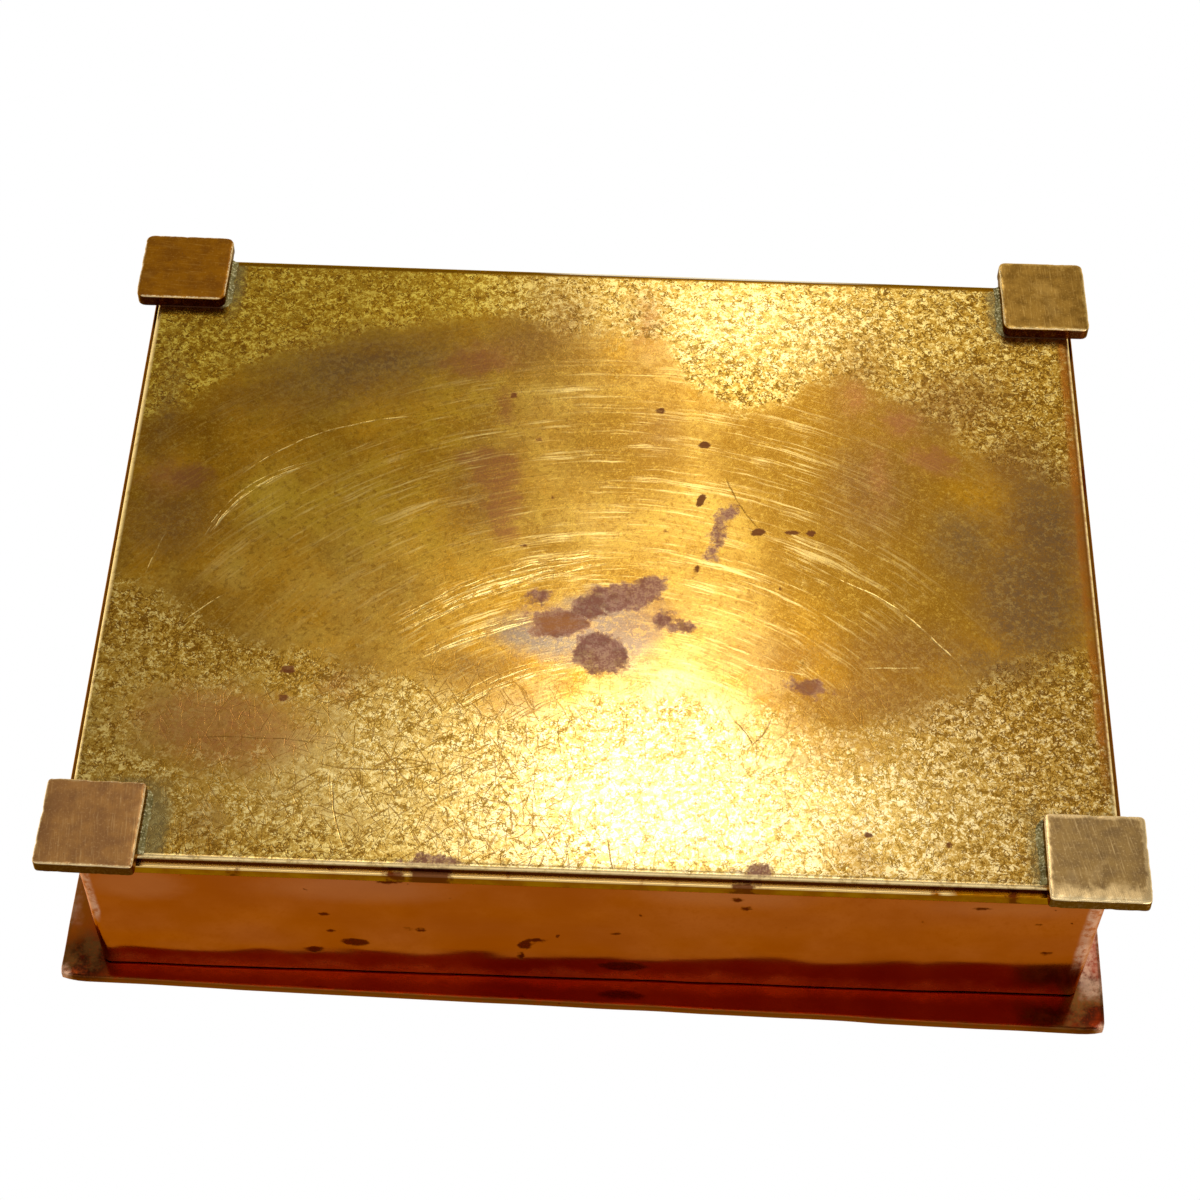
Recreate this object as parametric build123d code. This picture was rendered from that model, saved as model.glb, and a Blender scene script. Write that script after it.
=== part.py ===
from build123d import *
import os

# A low copper and brass stamp box with a hinged copper lid and four square brass feet.
# Millimetres. Z is up, X runs along the front, the front faces -Y and the hinge is at the back.
# The origin is on the table, under the middle of the box.

# Overall plan, worked out from a base of 4 inches
base_length = 101.6
base_width = 78.6
base_thickness = 1.3
base_corner = 0.7
base_edge_wear = 0.12

# Thin sheet under the base, set back from its edge as a ledge
ledge = 0.53
sheet_thickness = 1.05
sheet_bevel = 0.38

# Feet: square plates cut by hand, so each has its own sides, turn and worn corners
foot_thickness = 1.5
foot_edge_wear = 0.2
foot_centre_x = 47.65
foot_centre_y = 36.15
# name: (side along X, side along Y, turn in degrees, corner radius)
feet = {
    "foot_front_left": (9.7, 9.5, 0.2, 0.5),
    "foot_front_right": (9.5, 9.45, 1.0, 0.45),
    "foot_back_left": (9.4, 9.9, -0.4, 0.8),
    "foot_back_right": (9.8, 9.3, 0.3, 0.9),
}
solder_width = 0.5
solder_height = 0.4

# Wall: one strip bent round four corners
wall_inset = 1.3
wall_thickness = 0.9
wall_height = 20.15
wall_corner = 1.5

# Lid plate, fixed slightly out of square as such handmade boxes are
lid_gap = 0.2
lid_length = 105.7
lid_width = 81.5
lid_thickness = 1.2
lid_turn = 1.1
lid_corner = 0.9
lid_edge_wear = 0.25

# Hinge: five rolled knuckles, three on the box and two on the lid
hinge_length = 64.0
knuckle_count = 5
knuckle_gap = 0.2
knuckle_radius = 1.2
leaf_thickness = 0.55
pin_radius = 0.6
pin_fit = 0.04
pin_head_radius = 0.95
pin_head_length = 0.5
pin_head_peening = 0.25
hinge_clearance = 0.25
lid_to_barrel = 0.15
axis_behind_wall_middle = 37.5
box_leaf_drop = 8.4
lid_leaf_reach = 9.0
curl_slit = 0.12

# Rivets
rivet_radius = 0.6
rivet_fit = 0.02
rivet_head_radius = 1.15
rivet_head_height = 0.5
rivet_places_x = (-24.0, 0.0, 24.0)
box_rivet_below_axis = 6.6
lid_rivet_before_axis = 5.6

# Inside: three stamp compartments
compartments = 3
divider_thickness = 0.8
divider_height = 17.2
divider_dip = 5.5
divider_dip_length = 44.0
scoop_thickness = 0.5
scoop_rise = 8.0
inside_fit = 0.05

# Heights of the stacked pieces
sheet_bottom = foot_thickness
base_bottom = sheet_bottom + sheet_thickness
floor_height = base_bottom + base_thickness
wall_top = floor_height + wall_height
lid_bottom = wall_top + lid_gap
lid_top = lid_bottom + lid_thickness

# Sizes worked out from those above
wall_length = base_length - 2 * wall_inset
wall_width = base_width - 2 * wall_inset
inner_length = wall_length - 2 * wall_thickness
inner_width = wall_width - 2 * wall_thickness
axis_y = axis_behind_wall_middle
axis_z = lid_bottom - lid_to_barrel - knuckle_radius
notch_bottom = axis_z - knuckle_radius - hinge_clearance
notch_length = hinge_length + 2 * (knuckle_gap + pin_head_length + hinge_clearance)
inner_corner = wall_corner - wall_thickness
compartment_length = (inner_length - (compartments - 1) * divider_thickness) / compartments


def plate(length, width, thickness, corner, bottom):
    """A flat plate with rounded corners in plan, standing on the height bottom."""
    outline = RectangleRounded(length, width, corner)
    return Pos(0, 0, bottom) * extrude(outline, thickness)


def edges_at(solid, height):
    """The edges of a solid that lie wholly at one height."""
    near = 0.001
    return solid.edges().filter_by_position(Axis.Z, height - near, height + near)


def rod_x(radius, start, length, y, z):
    """A round rod along X."""
    rod = Cylinder(radius, length, rotation=(0, 90, 0), align=(Align.CENTER, Align.CENTER, Align.MIN))
    return Pos(start, y, z) * rod


def make_bottom_sheet():
    sheet = plate(base_length - 2 * ledge, base_width - 2 * ledge, sheet_thickness, base_corner, sheet_bottom)
    return chamfer(edges_at(sheet, sheet_bottom), sheet_bevel)


def make_base_plate():
    base = plate(base_length, base_width, base_thickness, base_corner, base_bottom)
    return chamfer(edges_at(base, base_bottom) + edges_at(base, floor_height), base_edge_wear)


def foot_place(name):
    """The middle of a foot: front is -Y, and left is seen from the front."""
    side_x = -1 if name.endswith("left") else 1
    side_y = -1 if "front" in name else 1
    return side_x * foot_centre_x, side_y * foot_centre_y


def make_foot(name):
    side_x, side_y, turn, corner = feet[name]
    foot = plate(side_x, side_y, foot_thickness, corner, 0)
    foot = chamfer(edges_at(foot, 0), foot_edge_wear)
    x, y = foot_place(name)
    return Pos(x, y, 0) * Rot(0, 0, turn) * foot


def make_foot_solder():
    """The thin sloping fillet of solder along the two inner sides of each foot."""
    sheet_face = Pos(0, 0, sheet_bottom - solder_height) * Box(
        base_length - 2 * ledge - 2 * sheet_bevel,
        base_width - 2 * ledge - 2 * sheet_bevel,
        solder_height,
        align=(Align.CENTER, Align.CENTER, Align.MIN),
    )
    fillets = []
    for name, (side_x, side_y, turn, corner) in feet.items():
        x, y = foot_place(name)
        place = Pos(x, y, 0) * Rot(0, 0, turn)
        top = Pos(0, 0, sheet_bottom) * RectangleRounded(
            side_x + 2 * solder_width, side_y + 2 * solder_width, corner + solder_width)
        lip = Pos(0, 0, sheet_bottom - solder_height) * RectangleRounded(
            side_x + 0.02, side_y + 0.02, corner + 0.01)
        skirt = place * loft([lip, top])
        foot_space = place * plate(side_x, side_y, foot_thickness, corner, 0)
        fillets.append((skirt - foot_space) & sheet_face)
    return Compound(children=[solid for fillet_part in fillets for solid in fillet_part.solids()])


def hinge_rivet_points_box():
    return [(x, axis_z - box_rivet_below_axis) for x in rivet_places_x]


def hinge_rivet_points_lid():
    return [(x, axis_y - lid_rivet_before_axis) for x in rivet_places_x]


def make_wall_band():
    outer = RectangleRounded(wall_length, wall_width, wall_corner)
    inner = RectangleRounded(inner_length, inner_width, inner_corner)
    band = Pos(0, 0, floor_height) * extrude(outer - inner, wall_height)
    notch = Pos(0, wall_width / 2, notch_bottom) * Box(
        notch_length, 4 * wall_thickness, wall_height, align=(Align.CENTER, Align.CENTER, Align.MIN))
    band -= notch
    for x, z in hinge_rivet_points_box():
        band -= Pos(x, wall_width / 2, z) * Cylinder(
            rivet_radius + rivet_fit, 4 * wall_thickness, rotation=(90, 0, 0))
    return band


def make_lid_plate():
    lid = plate(lid_length, lid_width, lid_thickness, lid_corner, lid_bottom)
    lid = chamfer(edges_at(lid, lid_top) + edges_at(lid, lid_bottom), lid_edge_wear)
    lid = Rot(0, 0, lid_turn) * lid
    for x, y in hinge_rivet_points_lid():
        lid -= lid_rivet_hole(x, y)
    return lid


def lid_rivet_hole(x, y):
    """A drilled hole with a countersink at the top, for one flush rivet."""
    fit = rivet_fit
    drilled = Pos(x, y, lid_bottom) * Cylinder(rivet_radius + fit, 2 * lid_thickness)
    sink = Pos(x, y, lid_top - rivet_head_height - fit) * Cone(
        rivet_radius + fit,
        rivet_head_radius + fit,
        rivet_head_height + fit,
        align=(Align.CENTER, Align.CENTER, Align.MIN),
    )
    return drilled + sink


def knuckle_spans(for_lid):
    """Start and length of each knuckle along X; the lid has the even ones."""
    pitch = hinge_length / knuckle_count
    spans = []
    for index in range(knuckle_count):
        if (index % 2 == 1) == for_lid:
            start = -hinge_length / 2 + index * pitch + knuckle_gap / 2
            spans.append((start, pitch - knuckle_gap))
    return spans


def bore():
    """The hole for the pin, through every knuckle."""
    return rod_x(pin_radius + pin_fit, -hinge_length, 2 * hinge_length, axis_y, axis_z)


def make_hinge_leaf_box():
    """A leaf inside the back wall, rolled over at its top into three knuckles."""
    inner_face = inner_width / 2
    strip_bottom = axis_z - knuckle_radius - box_leaf_drop
    strip = Pos(0, inner_face - leaf_thickness, strip_bottom) * Box(
        hinge_length,
        leaf_thickness,
        notch_bottom - strip_bottom,
        align=(Align.CENTER, Align.MIN, Align.MIN),
    )
    leaf = strip
    for start, length in knuckle_spans(for_lid=False):
        neck = Pos(start, inner_face - leaf_thickness, notch_bottom) * Box(
            length, leaf_thickness, axis_z - notch_bottom, align=(Align.MIN, Align.MIN, Align.MIN))
        slit = Pos(start, inner_face, axis_z - knuckle_radius) * Box(
            length, curl_slit, knuckle_radius - pin_radius, align=(Align.MIN, Align.MIN, Align.MIN))
        leaf = leaf + neck + (rod_x(knuckle_radius, start, length, axis_y, axis_z) - slit)
    leaf -= bore()
    for x, z in hinge_rivet_points_box():
        leaf -= Pos(x, inner_face, z) * Cylinder(
            rivet_radius + rivet_fit, 4 * leaf_thickness, rotation=(90, 0, 0))
    return leaf


def make_hinge_leaf_lid():
    """A leaf under the lid, rolled down at its back edge into two knuckles."""
    clear_of_barrel = axis_y - knuckle_radius - hinge_clearance
    strip_front = axis_y - lid_leaf_reach
    leaf = Pos(0, strip_front, lid_bottom - leaf_thickness) * Box(
        hinge_length,
        clear_of_barrel - strip_front,
        leaf_thickness,
        align=(Align.CENTER, Align.MIN, Align.MIN),
    )
    for start, length in knuckle_spans(for_lid=True):
        neck = Pos(start, clear_of_barrel, lid_bottom - leaf_thickness) * Box(
            length, axis_y - clear_of_barrel, leaf_thickness, align=(Align.MIN, Align.MIN, Align.MIN))
        slit = Pos(start, axis_y - knuckle_radius, lid_bottom - leaf_thickness) * Box(
            length, knuckle_radius - pin_radius, curl_slit, align=(Align.MIN, Align.MIN, Align.MAX))
        leaf = leaf + neck + (rod_x(knuckle_radius, start, length, axis_y, axis_z) - slit)
    leaf -= bore()
    for x, y in hinge_rivet_points_lid():
        leaf -= Pos(x, y, lid_bottom) * Cylinder(rivet_radius + rivet_fit, 4 * leaf_thickness)
    return leaf


def make_hinge_pin():
    """The pin, peened over into a low head at each end."""
    length = hinge_length + 2 * knuckle_gap
    pin = rod_x(pin_radius, -length / 2, length, axis_y, axis_z)
    for direction in (-1, 1):
        head = Pos(direction * (length + pin_head_length) / 2, axis_y, axis_z) * Cylinder(
            pin_head_radius, pin_head_length, rotation=(0, 90, 0))
        rim = head.edges().sort_by(Axis.X)[-1 if direction > 0 else 0]
        pin += chamfer(rim, pin_head_peening)
    return pin


def hammered_head():
    """A low hammered head on the plane Z = 0: a sloping rim up to a flat crown."""
    crown = 0.55 * rivet_head_radius
    return Cone(rivet_head_radius, crown, rivet_head_height, align=(Align.CENTER, Align.CENTER, Align.MIN))


def make_box_rivets():
    """Rivets through the back wall and the box leaf, with a head at both ends."""
    grip = wall_thickness + leaf_thickness
    rivet = Cylinder(rivet_radius, grip, align=(Align.CENTER, Align.CENTER, Align.MIN))
    rivet += Pos(0, 0, grip) * hammered_head()
    rivet += Rot(180, 0, 0) * hammered_head()
    rivets = []
    for x, z in hinge_rivet_points_box():
        outer_face = Pos(x, wall_width / 2, z)
        rivets.append(outer_face * Rot(90, 0, 0) * rivet)
    return Compound(children=[solid for item in rivets for solid in item.solids()])


def make_lid_rivets():
    """Rivets through the lid and the lid leaf: filed flush above, a head below."""
    shaft_length = leaf_thickness + lid_thickness
    rivet = Cylinder(rivet_radius, shaft_length, align=(Align.CENTER, Align.CENTER, Align.MIN))
    rivet += Pos(0, 0, shaft_length - rivet_head_height) * Cone(
        rivet_radius, rivet_head_radius, rivet_head_height, align=(Align.CENTER, Align.CENTER, Align.MIN))
    rivet += Rot(180, 0, 0) * hammered_head()
    rivets = []
    for x, y in hinge_rivet_points_lid():
        rivets.append(Pos(x, y, lid_bottom - leaf_thickness) * rivet)
    return Compound(children=[solid for item in rivets for solid in item.solids()])


def compartment_middle(index):
    """The X of the middle of a compartment, counted from the left."""
    pitch = compartment_length + divider_thickness
    return (index - (compartments - 1) / 2) * pitch


def make_scoop(index):
    """A strip bent to one long arc, low in the middle and high at the front and back walls."""
    half = inner_width / 2 - inside_fit
    top_radius = (half ** 2 + scoop_rise ** 2) / (2 * scoop_rise)
    low = floor_height + scoop_thickness
    centre_z = low + top_radius
    with BuildSketch(Plane.YZ) as section:
        with BuildLine():
            upper = ThreePointArc((-half, low + scoop_rise), (0, low), (half, low + scoop_rise))
            lower = ThreePointArc(
                (-half, low + scoop_rise - scoop_thickness),
                (0, low - scoop_thickness),
                (half, low + scoop_rise - scoop_thickness),
            )
            Line(upper @ 0, lower @ 0)
            Line(upper @ 1, lower @ 1)
        make_face()
    strip_width = compartment_length - 2 * inside_fit
    strip = extrude(section.sketch, strip_width / 2, both=True)
    strip = fillet(strip.edges().filter_by(Axis.Z), inner_corner)
    return Pos(compartment_middle(index), 0, 0) * strip


def make_divider(side):
    """An upright partition: its top dips in the middle, and it steps round the hinge leaf."""
    half = inner_width / 2 - inside_fit
    top = floor_height + divider_height
    leaf_bottom = axis_z - knuckle_radius - box_leaf_drop - hinge_clearance
    leaf_face = inner_width / 2 - leaf_thickness - 2 * inside_fit
    dip_half = divider_dip_length / 2
    with BuildSketch(Plane.YZ) as section:
        with BuildLine():
            Polyline((-dip_half, top), (-half, top), (-half, floor_height), (half, floor_height),
                     (half, leaf_bottom), (leaf_face, leaf_bottom), (leaf_face, top), (dip_half, top))
            ThreePointArc((dip_half, top), (0, top - divider_dip), (-dip_half, top))
        make_face()
    sheet = extrude(section.sketch, divider_thickness / 2, both=True)
    place_x = side * (compartment_length + divider_thickness) / 2
    return Pos(place_x, 0, 0) * sheet


nodes = {
    "bottom_sheet": make_bottom_sheet(),
    "base_plate": make_base_plate(),
    "foot_solder": make_foot_solder(),
    "wall_band": make_wall_band(),
    "lid_plate": make_lid_plate(),
    "hinge_leaf_box": make_hinge_leaf_box(),
    "hinge_leaf_lid": make_hinge_leaf_lid(),
    "hinge_pin": make_hinge_pin(),
    "box_rivets": make_box_rivets(),
    "lid_rivets": make_lid_rivets(),
    "divider_left": make_divider(-1),
    "divider_right": make_divider(1),
}
for foot_name in feet:
    nodes[foot_name] = make_foot(foot_name)
for scoop_index, scoop_side in enumerate(("left", "middle", "right")):
    nodes["stamp_scoop_" + scoop_side] = make_scoop(scoop_index)

os.makedirs("parts", exist_ok=True)
for node_name, node in nodes.items():
    export_step(node, f"parts/{node_name}.step")
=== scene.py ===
import math

import bmesh
import bpy
import numpy as np
from mathutils import Matrix, Vector, noise


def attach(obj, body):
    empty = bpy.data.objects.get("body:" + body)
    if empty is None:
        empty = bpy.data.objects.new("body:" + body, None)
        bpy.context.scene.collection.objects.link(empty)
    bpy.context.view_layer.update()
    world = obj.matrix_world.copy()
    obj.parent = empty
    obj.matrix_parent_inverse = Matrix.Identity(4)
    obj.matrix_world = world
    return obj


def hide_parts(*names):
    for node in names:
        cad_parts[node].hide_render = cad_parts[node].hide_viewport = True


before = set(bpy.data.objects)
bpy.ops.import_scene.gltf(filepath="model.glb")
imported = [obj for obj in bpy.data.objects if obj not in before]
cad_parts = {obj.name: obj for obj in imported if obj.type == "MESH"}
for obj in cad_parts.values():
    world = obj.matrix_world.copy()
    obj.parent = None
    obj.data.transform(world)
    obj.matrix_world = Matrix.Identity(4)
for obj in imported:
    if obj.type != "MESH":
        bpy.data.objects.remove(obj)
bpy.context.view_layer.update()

# The stamp box with worn brass and copper. Shapes are written in millimetres and made in metres.
MM = 0.001

# Heights of the stacked pieces
SHEET_BOTTOM = 1.5
BASE_BOTTOM = 2.55
FLOOR_HEIGHT = 3.85
NOTCH_BOTTOM = 21.4
WALL_TOP = 24.0
LID_BOTTOM = 24.2
LID_TOP = 25.4

# Half sizes of the plates, seen from above
BASE_HALF = (50.8, 39.3)
LEDGE = 0.53
SHEET_HALF = (BASE_HALF[0] - LEDGE, BASE_HALF[1] - LEDGE)
WALL_HALF = (49.5, 38.0)
WALL_THICKNESS = 0.9
LID_HALF = (52.85, 40.75)
LID_TURN = 1.1
NOTCH_HALF = 32.95

# Feet: middle, half sides, turn in degrees, corner radius
FEET = {
    "foot_front_left": (-47.65, -36.15, 4.85, 4.75, 0.2, 0.5),
    "foot_front_right": (47.65, -36.15, 4.75, 4.725, 1.0, 0.45),
    "foot_back_left": (-47.65, 36.15, 4.7, 4.95, -0.4, 0.8),
    "foot_back_right": (47.65, 36.15, 4.9, 4.65, 0.3, 0.9),
}

HINGE_AXIS = (37.5, 22.85)
RIVETS_X = (-24.0, 0.0, 24.0)


# Small helpers for numbers

OUTSIDE = -5.0


def smooth(value, low, high):
    """0 below low, 1 above high, and a soft step between."""
    t = np.clip((value - low) / (high - low), 0.0, 1.0)
    return t * t * (3 - 2 * t)


def blob(x, y, middle_x, middle_y, wide, high, power=2):
    """1 in the middle, fading out over the half sizes; a higher power keeps it flat for longer."""
    return np.exp(-((x - middle_x) / wide) ** power - ((y - middle_y) / high) ** power)


def cloud(points, size, seed=0.0, detail=3):
    """Soft noise from about -1 to 1 at points in millimetres; size is the width of one blob."""
    shift = np.array((seed, -seed, 2 * seed))
    return np.array([noise.fractal(Vector(p), 1.0, 2.0, detail) for p in np.asarray(points) / size + shift])


def turned(points, degrees):
    """The points turned about Z."""
    c, s = math.cos(math.radians(degrees)), math.sin(math.radians(degrees))
    out = np.array(points, float)
    out[:, 0], out[:, 1] = c * points[:, 0] - s * points[:, 1], s * points[:, 0] + c * points[:, 1]
    return out


def spots(points, shapes):
    """How far inside the nearest ellipse each point is, in millimetres; negative is outside.

    A shape is its middle, its half sizes, and its turn in degrees, which can be left out.
    """
    best = np.full(len(points), OUTSIDE)
    for shape in shapes:
        x, y, wide, high, turn = (*shape, 0)[:5]
        local = turned(points - np.array((x, y, 0.0)), -turn)
        reach = np.sqrt((local[:, 0] / wide) ** 2 + (local[:, 1] / high) ** 2)
        best = np.maximum(best, (1 - reach) * min(wide, high))
    return best


# Small helpers for meshes

FEWEST_CELLS = 6
SMALLEST_CORNER = 0.03
SHEET_SHARP = 50


def add_piece(name, points, faces, body, slot, material, replaced, sharp=40.0):
    """Makes one closed mesh from points in millimetres and puts it on its body."""
    mesh = bpy.data.meshes.new(name)
    mesh.from_pydata([tuple(p) for p in np.asarray(points) * MM], [], faces)
    work = bmesh.new()
    work.from_mesh(mesh)
    bmesh.ops.recalc_face_normals(work, faces=work.faces)
    work.to_mesh(mesh)
    work.free()
    mesh.polygons.foreach_set("use_smooth", [True] * len(mesh.polygons))
    mesh.set_sharp_from_angle(angle=math.radians(sharp))
    mesh.materials.append(material)
    piece = bpy.data.objects.new(name, mesh)
    bpy.context.scene.collection.objects.link(piece)
    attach(piece, body)
    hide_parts(*replaced)
    return piece


def paint(piece, **fields):
    """Stores one number for each vertex under each name, for the material to read."""
    for name, values in fields.items():
        layer = piece.data.attributes.new(name, "FLOAT", "POINT")
        layer.data.foreach_set("value", np.asarray(values, np.float32))


def round_rims(piece, width, segments):
    """Rounds the sharp edges of a piece of sheet."""
    edge = piece.modifiers.new("rounded_rims", "BEVEL")
    edge.width = width * MM
    edge.segments = segments
    edge.limit_method = "ANGLE"
    edge.angle_limit = math.radians(SHEET_SHARP)
    edge.use_clamp_overlap = False


def rounded(x, y, half_x, half_y, corner):
    """Moves a point of a square-cornered plan so that the corner becomes round."""
    over_x, over_y = abs(x) - (half_x - corner), abs(y) - (half_y - corner)
    if over_x <= 0 or over_y <= 0:
        return x, y
    shrink = max(over_x, over_y) / math.hypot(over_x, over_y)
    return (
        math.copysign(half_x - corner + over_x * shrink, x),
        math.copysign(half_y - corner + over_y * shrink, y),
    )


def plate_mesh(half, corner, profile, cell, bottom=0.0):
    """Points and faces of a plate: a grid below, rounded sides and a grid above.

    profile is a list of (inset, height above the bottom) from the rim of the lower face to the upper one.
    """
    count_x = max(FEWEST_CELLS, round(2 * half[0] / cell))
    count_y = max(FEWEST_CELLS, round(2 * half[1] / cell))
    spots_u = np.linspace(-1, 1, count_x + 1)
    spots_v = np.linspace(-1, 1, count_y + 1)
    loop = [(i, 0) for i in range(count_x)] + [(count_x, j) for j in range(count_y)]
    loop += [(i, count_y) for i in range(count_x, 0, -1)] + [(0, j) for j in range(count_y, 0, -1)]
    points, faces = [], []

    def place(i, j, inset, height):
        hx, hy = half[0] - inset, half[1] - inset
        x, y = rounded(spots_u[i] * hx, spots_v[j] * hy, hx, hy, max(corner - inset, SMALLEST_CORNER))
        points.append((x, y, bottom + height))

    def grid(inset, height, flip):
        start = len(points)
        for j in range(count_y + 1):
            for i in range(count_x + 1):
                place(i, j, inset, height)
        row = count_x + 1
        for j in range(count_y):
            for i in range(count_x):
                a = start + j * row + i
                quad = (a, a + 1, a + 1 + row, a + row)
                faces.append(quad[::-1] if flip else quad)
        return [start + j * row + i for i, j in loop]

    rings = [grid(*profile[0], True)]
    for inset, height in profile[1:-1]:
        start = len(points)
        for i, j in loop:
            place(i, j, inset, height)
        rings.append(list(range(start, start + len(loop))))
    rings.append(grid(*profile[-1], False))
    for lower, upper in zip(rings, rings[1:]):
        for k in range(len(loop)):
            n = (k + 1) % len(loop)
            faces.append((lower[k], lower[n], upper[n], upper[k]))
    return np.array(points), faces


def rim_distance(points, half):
    """How far each point of a plate is from its outline, seen from above."""
    return np.minimum(half[0] - np.abs(points[:, 0]), half[1] - np.abs(points[:, 1]))


def layered_mesh(outer, inner, keep, closed):
    """Points and faces of a closed sheet between two grids of points; keep says which cells are there."""
    columns, rows = outer.shape[:2]
    points = np.concatenate([outer.reshape(-1, 3), inner.reshape(-1, 3)])
    shift = columns * rows
    cells_x = columns if closed else columns - 1
    faces, used = [], {}
    for i in range(cells_x):
        n = (i + 1) % columns
        for j in range(rows - 1):
            if not keep[i][j]:
                continue
            a, b, c, d = i * rows + j, n * rows + j, n * rows + j + 1, i * rows + j + 1
            faces.append((a, b, c, d))
            faces.append((d + shift, c + shift, b + shift, a + shift))
            for edge in ((a, b), (b, c), (c, d), (d, a)):
                used[edge] = True
    for first, second in used:
        if (second, first) not in used:
            faces.append((second, first, first + shift, second + shift))
    wanted = sorted({index for face in faces for index in face})
    new_index = {old: new for new, old in enumerate(wanted)}
    return points[wanted], [tuple(new_index[index] for index in face) for face in faces]


def lathe(profile, segments, wobble=0.0, seed=0.0):
    """Points and faces of a closed turned shape about Z, from its lower tip to its upper tip."""
    points, faces = [(0.0, 0.0, profile[0][1])], []
    for radius, height in profile[1:-1]:
        for k in range(segments):
            angle = 2 * math.pi * k / segments
            x, y = radius * math.cos(angle), radius * math.sin(angle)
            push = wobble * noise.noise(Vector((1.3 * x + seed, 1.3 * y, height + seed)))
            points.append((x * (1 + push), y * (1 + push), height + push * 0.25 * (radius < 1.05)))
    points.append((0.0, 0.0, profile[-1][1]))
    last = len(points) - 1
    for k in range(segments):
        n = (k + 1) % segments
        faces.append((0, 1 + n, 1 + k))
        faces.append((last, last - segments + k, last - segments + n))
        for ring in range(len(profile) - 3):
            a = 1 + ring * segments
            faces.append((a + k, a + n, a + segments + n, a + segments + k))
    return np.array(points), faces


def join_meshes(parts):
    """One list of points and faces from several."""
    points, faces, start = [], [], 0
    for part_points, part_faces in parts:
        points.append(part_points)
        faces += [tuple(index + start for index in face) for face in part_faces]
        start += len(part_points)
    return np.concatenate(points), faces


# Materials

class Nodes:
    """A node tree, with short calls for the nodes that are used again and again."""

    def __init__(self, tree):
        self.tree = tree

    def put(self, socket, value):
        """Links what another node gives, or sets a plain value."""
        if isinstance(value, bpy.types.NodeSocket):
            self.tree.links.new(value, socket)
        else:
            socket.default_value = (*value, 1.0) if socket.type == "RGBA" else value

    def node(self, kind, inputs=(), **settings):
        """The outputs of a new node; its inputs are listed in order, or given by name or number."""
        node = self.tree.nodes.new("ShaderNode" + kind)
        for name, value in settings.items():
            setattr(node, name, value)
        for key, value in inputs.items() if isinstance(inputs, dict) else enumerate(inputs):
            if value is not None:
                self.put(node.inputs[key], value)
        return node.outputs

    def math(self, operation, *values, clamp=False):
        return self.node("Math", values, operation=operation, use_clamp=clamp)[0]

    def mul(self, first, *others):
        """The product of two or more values."""
        for other in others:
            first = self.math("MULTIPLY", first, other)
        return first

    def mad(self, value, factor, offset, clamp=False):
        """value times factor, plus offset."""
        return self.math("MULTIPLY_ADD", value, factor, offset, clamp=clamp)

    def add(self, first, second):
        return self.math("ADD", first, second)

    def sub(self, first, second):
        return self.math("SUBTRACT", first, second)

    def top(self, first, second):
        """The higher of two values."""
        return self.math("MAXIMUM", first, second)

    def vector(self, operation, first, second=None, scale=None):
        outputs = self.node("VectorMath", {0: first, 1: second, "Scale": scale}, operation=operation)
        return outputs["Value" if operation in ("LENGTH", "DISTANCE", "DOT_PRODUCT") else "Vector"]

    def step(self, value, low, high, to_low=0.0, to_high=1.0):
        """A soft step of value from low to high."""
        values = (value, low, high, to_low, to_high)
        return self.node("MapRange", values, interpolation_type="SMOOTHSTEP")[0]

    def noise(self, vector, scale, detail=2.0, rough=0.5, twist=0.0):
        return self.node("TexNoise", {
            "Vector": vector, "Scale": scale, "Detail": detail, "Roughness": rough, "Distortion": twist})

    def mix(self, factor, first, second):
        return self.node("Mix", {0: factor, 6: first, 7: second}, data_type="RGBA")[2]

    def field(self, name):
        """A number that paint() stored on the mesh."""
        return self.node("Attribute", attribute_name=name)["Fac"]

    def split(self, vector):
        return self.node("SeparateXYZ", [vector])

    def combine(self, x, y, z=0.0):
        return self.node("CombineXYZ", (x, y, z))[0]


class Metal(Nodes):
    """The material of one metal, in millimetres of the object; its colour is laid on in coats."""

    def __init__(self, name, edge_tint=(1.0, 1.0, 1.0), metallic=1.0):
        self.material = bpy.data.materials.new(name)
        self.material.use_nodes = True
        super().__init__(self.material.node_tree)
        self.shader = self.tree.nodes["Principled BSDF"]
        self.put(self.shader.inputs["Metallic"], metallic)
        self.put(self.shader.inputs["Specular Tint"], edge_tint)
        self.mm = self.vector("SCALE", self.node("TexCoord")["Object"], scale=1 / MM)

    def speckle(self, *settings):
        """Plain noise over the object: scale, detail, roughness, twist."""
        return self.noise(self.mm, *settings)[0]

    def streaks(self, stretch, *settings):
        """Noise that is drawn out by stretch along each axis: detail, roughness."""
        return self.noise(self.vector("MULTIPLY", self.mm, stretch), 1.0, *settings)[0]

    def coat(self, amount, tint, strength=None):
        """Lays a tint over the colour so far."""
        if strength is not None:
            amount = self.mul(amount, strength)
        self.color = self.mix(amount, self.color, tint)

    def dust(self, value, low, high, strength, tint):
        """Lays a tint over the colour where value goes from low to high."""
        self.coat(self.step(value, low, high, 0.0, strength), tint)

    def finish(self, roughness, relief, depth):
        """Puts it all into the shader; relief is a height from 0 to 1, and depth is in millimetres."""
        bump = self.node("Bump", {"Strength": 1.0, "Distance": depth * MM, "Height": relief})[0]
        for label, value in (("Base Color", self.color), ("Roughness", roughness), ("Normal", bump)):
            self.put(self.shader.inputs[label], value)
        return self.material


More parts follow.
